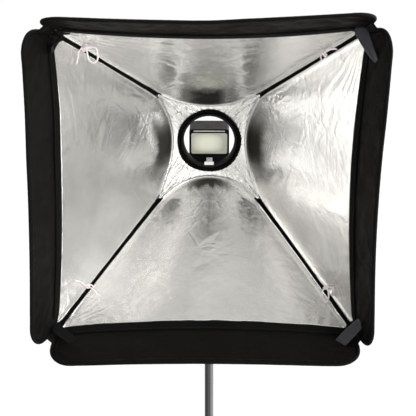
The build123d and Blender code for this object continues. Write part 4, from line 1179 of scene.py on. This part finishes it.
def twisted_strap(corner):
    ends, lean, shift_y, material = TWISTED_STRAPS[corner]
    start_a, start_b, end_a, end_b = np.array(ends, float)
    rows, cols = 41, 19
    t = np.linspace(0, 1, rows)[:, None, None]
    wide = np.linspace(0, 1, cols)[None, :, None]
    pinch = 1 - 0.45 * np.exp(-t / 0.06) - 0.45 * np.exp(-(1 - t) / 0.06)
    wide = 0.5 + (wide - 0.5) * pinch
    points = ((1 - t) * ((1 - wide) * start_a + wide * start_b)
              + t * ((1 - wide) * end_a + wide * end_b))
    bulge = 2.2 * np.sin(math.pi * t) * (1 + 0.5 * wide)
    ripple = 0.28 * np.sin(wide * 52) + 0.5 * np.sin(t * 9 + wide * 5)
    points = points + np.array([0, -1.0, 0]) * (bulge + ripple)
    points = points + np.array(lean) * (2.4 + 1.2 * np.sin(math.pi * t)) + (0.0, shift_y, 0.0)
    return make("corner_strap_%d" % corner, points, grid_faces(rows, cols), [FABRIC[material]],
                flat_uv(t[..., 0] * 60, wide[..., 0] * 20))


def flat_strap(corner):
    """Strap straight across the corner, its ends turned onto the two sides."""
    near, far, width, tail = 242.0, 262.8, 20.0, 60
    start, end = square_at(corner, near, 0, far), square_at(corner, far, 0, near)
    rows, cols = 15, 41
    t = np.linspace(-0.16, 1.16, cols)
    between = np.clip(t, 0, 1)
    line = (start + (end - start) * between[:, None]
            + direction(corner, 1, 0, 0) * (np.minimum(t, 0) * tail)[:, None]
            - direction(corner, 0, 0, 1) * (np.maximum(t - 1, 0) * tail)[:, None])
    j = np.arange(rows)[:, None]
    part = j / (rows - 1)
    curl = 1.92 * np.sin(math.pi * between) * (part - 0.45)
    rise = 1.6 + curl + 0.25 * np.sin(j * 2.1)
    points = line[None] + towards_axis(corner) * rise[..., None]
    points[..., 1] = FOLD_Y - 8.0 - width * part + 0.9 * np.sin(t * 3 + corner)
    return make("corner_strap_%d" % corner, hang(points), grid_faces(rows, cols),
                [FABRIC["elastic_strap"]], flat_uv(t * 53, width * part))


def build_straps(half, corners):
    for corner in corners:
        strap = twisted_strap(corner) if corner in TWISTED_STRAPS else flat_strap(corner)
        mount(outward(thicken(strap, 0.9)), "side_" + half,
              "corner_straps_" + half if corner == corners[0] else None)


# ------------------------------------------------------------------ elastic cords
# Loose cord ends by half: points (x, y, z) and radius.
CORDS = {
    "top": [
        ([(-217, -288, 869), (-212, -296, 868), (-209, -298, 855), (-206, -297, 842),
          (-199, -297, 837), (-192, -297, 841), (-191, -297, 853), (-193, -297, 862),
          (-202, -295, 867), (-212, -291, 870)], 1.45),
        ([(-216, -289, 866), (-219, -296, 862), (-224, -298, 855), (-225, -298, 846),
          (-231, -297, 839), (-241, -294, 836)], 1.3),
        ([(202, -272, 853), (206, -280, 858), (211, -281, 862), (222, -281, 865),
          (230, -279, 862)], 1.4),
        ([(203, -273, 852), (197, -280, 848), (199, -281, 839), (206, -279, 844)], 1.3),
    ],
    "bottom": [
        ([(-220, -290, 424), (-228, -297, 432), (-240, -298, 438), (-253, -299, 441),
          (-262, -303, 444)], 1.35),
        ([(-220, -290, 424), (-218, -297, 430), (-210, -298, 429), (-206, -298, 425)], 1.3),
        ([(-219, -290, 423), (-212, -297, 424), (-205, -298, 418), (-200, -299, 411)], 1.3),
        ([(216, -290, 424), (224, -297, 428), (236, -298, 429), (248, -299, 431)], 1.35),
        ([(217, -289, 423), (210, -297, 424), (207, -300, 414), (209, -302, 402),
          (215, -303, 398), (219, -301, 408), (218, -297, 420), (216, -290, 425)], 1.45),
        ([(216, -290, 425), (208, -297, 434), (201, -298, 443), (197, -298, 450)], 1.3),
    ],
}
KNOTS = {"top": [(-214, -292, 869), (204, -274, 854)],
         "bottom": [(-219, -292, 426), (217, -292, 426)]}
# The cords are drawn off the fabric by this much towards a point in front of the softbox.
CORD_DRAW = {"top": 18.0, "bottom": 12.0}
DRAW_TOWARDS = np.array([27.0, -2488.0, 1300.0])


def lay_on(points, margin):
    """Pushes points inwards until they lie clear of the silver."""
    points = np.array(points, float).reshape(-1, 3)
    for side in range(4):
        along, down = np.meshgrid(np.linspace(-FOLD_OUT, FOLD_OUT, 171),
                                  np.linspace(SLOPE_L - 140, SLOPE_L, 57))
        limit = seam_half(down / SLOPE_L)
        inside = (np.abs(along) < limit) & (np.abs(along) > 90)
        along, down, limit = along[inside], down[inside], limit[inside]
        across, run = along / limit, down / SLOPE_L
        base = slope_at(side, along, down, across, run, 0.0)
        normal = (slope_at(side, along, down, across, run, 4.0) - base) / 4
        squared = ((points[:, None] - base[None]) ** 2).sum(-1)
        nearest = squared.argmin(1)
        gap = ((points - base[nearest]) * normal[nearest]).sum(1)
        close = squared[np.arange(len(points)), nearest] < 45**2
        push = np.where(close, np.maximum(0.0, margin - gap), 0.0)
        points = points + push[:, None] * normal[nearest]
    return points


def cord_tube(points, radius, draw):
    points = np.array(points, float)
    amount = np.interp(np.arange(len(points)), [0, 1, 2], [0.35, 0.8, 1.0]) * draw
    ray = DRAW_TOWARDS - points
    points = points + ray / np.linalg.norm(ray, axis=1)[:, None] * amount[:, None]
    line, length = spline(points, max(24, len(points) * 12))
    line = relax(lay_on(line, 4.6), 4)
    arc = np.linspace(0, length, len(line))
    radii = radius * (1 + 0.07 * np.sin(arc * 3.3))
    return tube(line, radii, (0.13, -1.0, 0.21), segments=10, closed=False)


def knot_tube(place):
    angle = np.linspace(0, 2 * np.pi * 2, 60)
    knot = np.stack([2.3 * np.cos(angle) + 0.6 * np.cos(3 * angle),
                     1.6 * np.sin(2.5 * angle + 0.6),
                     2.4 * np.sin(angle) + 0.5 * np.sin(1.5 * angle)], 1)
    centre = lay_on(np.array(place, float) + (0.0, -6.0, 1.5), 6.5)[0]
    return tube(knot + centre, 1.2, (0.2, -1, 0.3), segments=9, closed=False)


def build_cords(half):
    parts = Parts()
    for points, radius in CORDS[half]:
        parts.add(*cord_tube(points, radius, CORD_DRAW[half]))
    for place in KNOTS[half]:
        parts.add(*knot_tube(place))
    cords = outward(parts.build("cords_" + half, FABRIC["elastic_cord"]))
    mount(cords, "side_" + half, "baffle_cords_" + half)


# ------------------------------------------------------------------ rear fabric and hem
def gore_wrinkles(side, across, part, along, out, span, angle):
    """Height of the gore's folds and of the gathers at the hem."""
    seed = 1500 + 17 * side
    corner = np.abs(across)
    fade = ease(part * 4) * ease((1 - part) * 6)
    pleats = np.sin(across * 46 + 5 * grad_noise(across * 5, part * 2, seed))
    height = 1.25 * pleats * ease((corner - 0.25) / 0.5) * fade
    height += 0.9 * cloud_noise(along, out, 22, seed + 2, 3) * fade
    height += 0.7 * ridged_noise(along, out, 9, seed + 5, 2) * fade * (0.3 + 0.7 * corner)
    height += (ridged_noise(along * 0.5 + out * 0.5, along * 0.5 - out * 0.5, 5.0, seed + 11, 2)
               * fade * ease((corner - 0.72) / 0.2))
    # a low ridge along the corner seams
    height += 1.3 * np.exp(-(1 - corner) * 26) * fade * np.sin(part * 26 + side)
    gathers = np.sin(angle * 36 + 2 * grad_noise(across * 9, 0, seed + 8))
    from_hem = part * span
    return height + 0.8 * gathers * np.exp(-from_hem / 9.0) * ease(from_hem / 2.0)


def face_silver_forward(mesh, sheet_faces):
    """Swaps the two sheets' materials if the first sheet faces backwards."""
    leaning = sum(1 if face.normal.y > 0 else -1 for face in mesh.polygons[:400])
    if leaning > 0:
        index = np.zeros(len(mesh.polygons), np.int32)
        mesh.polygons.foreach_get("material_index", index)
        index[:sheet_faces] = 1
        index[sheet_faces:2 * sheet_faces] = 0
        mesh.polygons.foreach_set("material_index", index)


def build_gore(side):
    """Rear fabric from the round hem to one panel's back edge."""
    cols, rows = 120, 44
    across = np.linspace(-1, 1, cols + 1)[None, :].repeat(rows + 1, 0)
    part = np.linspace(0, 1, rows + 1)[:, None].repeat(cols + 1, 1)
    angle = np.radians(45 * across)
    edge_down = tongue_down(across) - 4.1 * np.sqrt(1 + (1.1 * across) ** 2)
    edge_y, edge_out = on_slope(edge_down)
    edge_along = across * (BACK_HALF + 1.4)
    hem_along, hem_out = HEM_RADIUS * np.sin(angle), HEM_RADIUS * np.cos(angle)
    along = hem_along + (edge_along - hem_along) * part
    out = hem_out + (edge_out - hem_out) * part
    y = HEM_Y + (edge_y - HEM_Y) * part
    span = np.hypot(edge_along - hem_along, edge_out - hem_out)
    height = gore_wrinkles(side, across, part, along, out, span, angle)
    gore = make("rear_gore_" + SIDES[side], side_at(side, along, y - height, out),
                grid_faces(rows + 1, cols + 1), [FABRIC["silver_rear"], FABRIC["black_shell"]],
                flat_uv(along, out))
    thicken(gore, 0.6, material_offset=1)
    face_silver_forward(gore.data, cols * rows)
    tuple(side_at(side, 0, HEM_Y, 60.6) / MM)
    tuple(side_at(side, 0, HEM_Y, 70.2) / MM)
    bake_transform(gore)
    if side == 0:
        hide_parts("rear_fabric")


def build_hem():
    """Gathered elastic ring around the collar."""
    around, section = 360, 20
    angle = np.linspace(0, 2 * np.pi, around, endpoint=False)
    waver = (0.6 * np.sin(angle * 5 + 0.6) + 0.4 * np.sin(angle * 3 + 2.0) + 1.6
             + 1.5 * (0.5 - 0.5 * np.cos(angle))
             + 1.3 * np.exp(-((np.abs(angle - np.pi) - 0.8) / 0.35) ** 2))
    gathers = 0.34 * np.sin(angle * 64 + 1.2 * np.sin(angle * 7)) + 0.16 * np.sin(angle * 117)
    turn = 2 * np.pi * np.arange(section)[:, None] / section
    # rounded-square section, its innermost points left smooth
    cos, sin = np.cos(turn), np.sin(turn)
    base = 56.95 + 2.75 * np.sign(cos) * np.abs(cos) ** 0.6
    section_y = -48.5 + 4.2 * np.sign(sin) * np.abs(sin) ** 0.6
    outer = 0.25 + 0.75 * np.maximum(0.0, cos)
    radius = base + (waver + gathers) * outer * (base > 55)
    points = np.stack([radius * np.sin(angle), section_y + 0.25 * gathers,
                       AXIS_Z + radius * np.cos(angle)], -1)
    hem = make("hem_elastic", points, grid_faces(section, around, True, True),
               [FABRIC["collar_elastic"]],
               flat_uv(angle * 57, np.arange(section)[:, None] * 1.3))
    mount(outward(hem), "softbox", "collar_hem")


# ------------------------------------------------------------------ build the softbox
for side in range(4):
    build_panel(side)
    build_lip(side)
    build_joint_tape(side)
    build_loop_tape(side)
    build_hoop(side)
    build_stitches(side)
for side in range(4):
    build_patches(side)
for half, corners in CORNER_PAIRS:
    build_webs(half, corners)
for half, corners in CORNER_PAIRS:
    build_straps(half, corners)
for half, _ in CORNER_PAIRS:
    build_cords(half)
for side in range(4):
    build_gore(side)
build_hem()


def finish_cad_parts():
    """Gives the CAD nodes the hard material of their slot."""
    slot_of = {part["node"]: part["material_slot"] for part in frame["record"]["subparts"]}
    for name, ob in frame["nodes"].items():
        material = HARD["wide_clear"] if name == "wide_panel" else HARD.get(slot_of.get(name))
        if material is None:
            continue
        if not ob.material_slots:
            ob.data.materials.append(material)
        for slot in ob.material_slots:
            slot.material = material


finish_cad_parts()


# ------------------------------------------------------------------ floor, world, lights, camera
def build_floor():
    """White floor that glows mostly for the camera and stays out of reflections."""
    material, sh = new_material("floor")
    patches = sh.remap(sh.noise(sh.coords(), scale=3), 0, 1)
    sh.surface({"Base Color": sh.mix(patches, (0.90, 0.90, 0.90), (0.95, 0.95, 0.95)),
                "Roughness": 0.8, "Specular IOR Level": 0.1})
    glow = sh.add("Emission", {"Strength": 1.02})
    seen = sh.calc("MULTIPLY", sh.add("LightPath", out="Is Camera Ray"), 0.82)
    shader = sh.add("MixShader", {0: seen, 1: sh.bsdf.outputs[0], 2: glow})
    sh.put(sh.tree.nodes["Material Output"], {"Surface": shader})
    half, z = 9000, -1
    floor = make("floor", [(-half, -half, z), (half, -half, z), (half, half, z),
                           (-half, half, z)], [[0, 1, 2, 3]], [material], smooth=False)
    floor.visible_glossy = False


def build_world():
    """Soft room seen by light only, brightest at the right; the camera sees white."""
    world = bpy.data.worlds.new("studio")
    bpy.context.scene.world = world
    world.use_nodes = True
    sh = Shader(world.node_tree)
    towards = sh.add("TexCoord", out="Generated")
    axes = sh.add("SeparateXYZ", {0: towards}).node.outputs
    # axis, where the band starts and ends, its level: right, front, overhead, rear
    right, front, above, rear = (
        sh.remap(axes[axis], 0.0, level, start=start, end=end, interpolation_type="SMOOTHSTEP")
        for axis, start, end, level in ((0, 0.22, 0.72, 2.3), (1, -0.55, -0.98, 0.60),
                                        (2, 0.55, 0.95, 0.16), (1, 0.1, 0.9, 0.5)))
    level = sh.calc("ADD", sh.calc("ADD", right, front), sh.calc("ADD", above, rear))
    level = sh.calc("ADD", level, 0.40)
    patches = sh.noise(towards, scale=6.0, detail=2.0)
    level = sh.calc("MULTIPLY", level, sh.remap(patches, 0.62, 1.38, start=0.36, end=0.64))
    tint = sh.mix(right, (1.0, 0.985, 0.955), (1.0, 0.995, 0.975))
    tint = sh.mix(1.0, tint, (1, 1, 1), blend="MULTIPLY")
    room = sh.add("VectorMath", {0: tint, "Scale": level}, operation="SCALE")
    seen = sh.add("LightPath", out="Is Camera Ray")
    sh.put(sh.tree.nodes["Background"],
           {"Color": sh.mix(seen, room, (1.0, 1.0, 1.0)), "Strength": 1.0})


def area_light(name, place, target, size, power, colour=(1, 1, 1)):
    """Rectangular light at place, aimed at target."""
    light = bpy.data.lights.new(name, "AREA")
    light.shape = "RECTANGLE"
    light.size, light.size_y = size
    light.energy = power
    light.color = colour
    ob = bpy.data.objects.new(name, light)
    ob.location = place
    ob.rotation_euler = (Vector(target) - Vector(place)).to_track_quat("-Z", "Y").to_euler()
    bpy.context.scene.collection.objects.link(ob)


def build_camera():
    """Camera in front, looking slightly down at the middle of the rim."""
    elevation, azimuth = math.radians(15.75), math.radians(0.65)
    distance = 2.430
    target = Vector((0, RIM_Y / MM, AXIS_Z / MM))
    camera = bpy.data.cameras.new("camera")
    camera.lens = 126.17
    camera.sensor_width = 36.0
    camera.shift_x = 0.0031
    camera.shift_y = -0.0257
    camera.clip_start, camera.clip_end = 0.05, 60
    ob = bpy.data.objects.new("camera", camera)
    ob.location = target + distance * Vector((math.sin(azimuth) * math.cos(elevation),
                                              -math.cos(azimuth) * math.cos(elevation),
                                              math.sin(elevation)))
    ob.rotation_euler = (math.pi / 2 - elevation, 0, azimuth)
    scene = bpy.context.scene
    scene.collection.objects.link(ob)
    scene.camera = ob
    scene.view_settings.view_transform = "Standard"
    scene.view_settings.look = "None"


build_floor()
build_world()
area_light("key", place=(2.1, -2.3, 1.5), target=(0.0, -0.2, 0.64), size=(1.0, 1.4), power=38,
           colour=(1.0, 0.99, 0.97))
area_light("top", place=(0.3, 0.2, 2.6), target=(0, 0.1, 0.6), size=(2.2, 2.2), power=18)
area_light("rear", place=(1.6, 2.2, 1.5), target=(0, 0, 0.6), size=(1.6, 1.6), power=20)
build_camera()
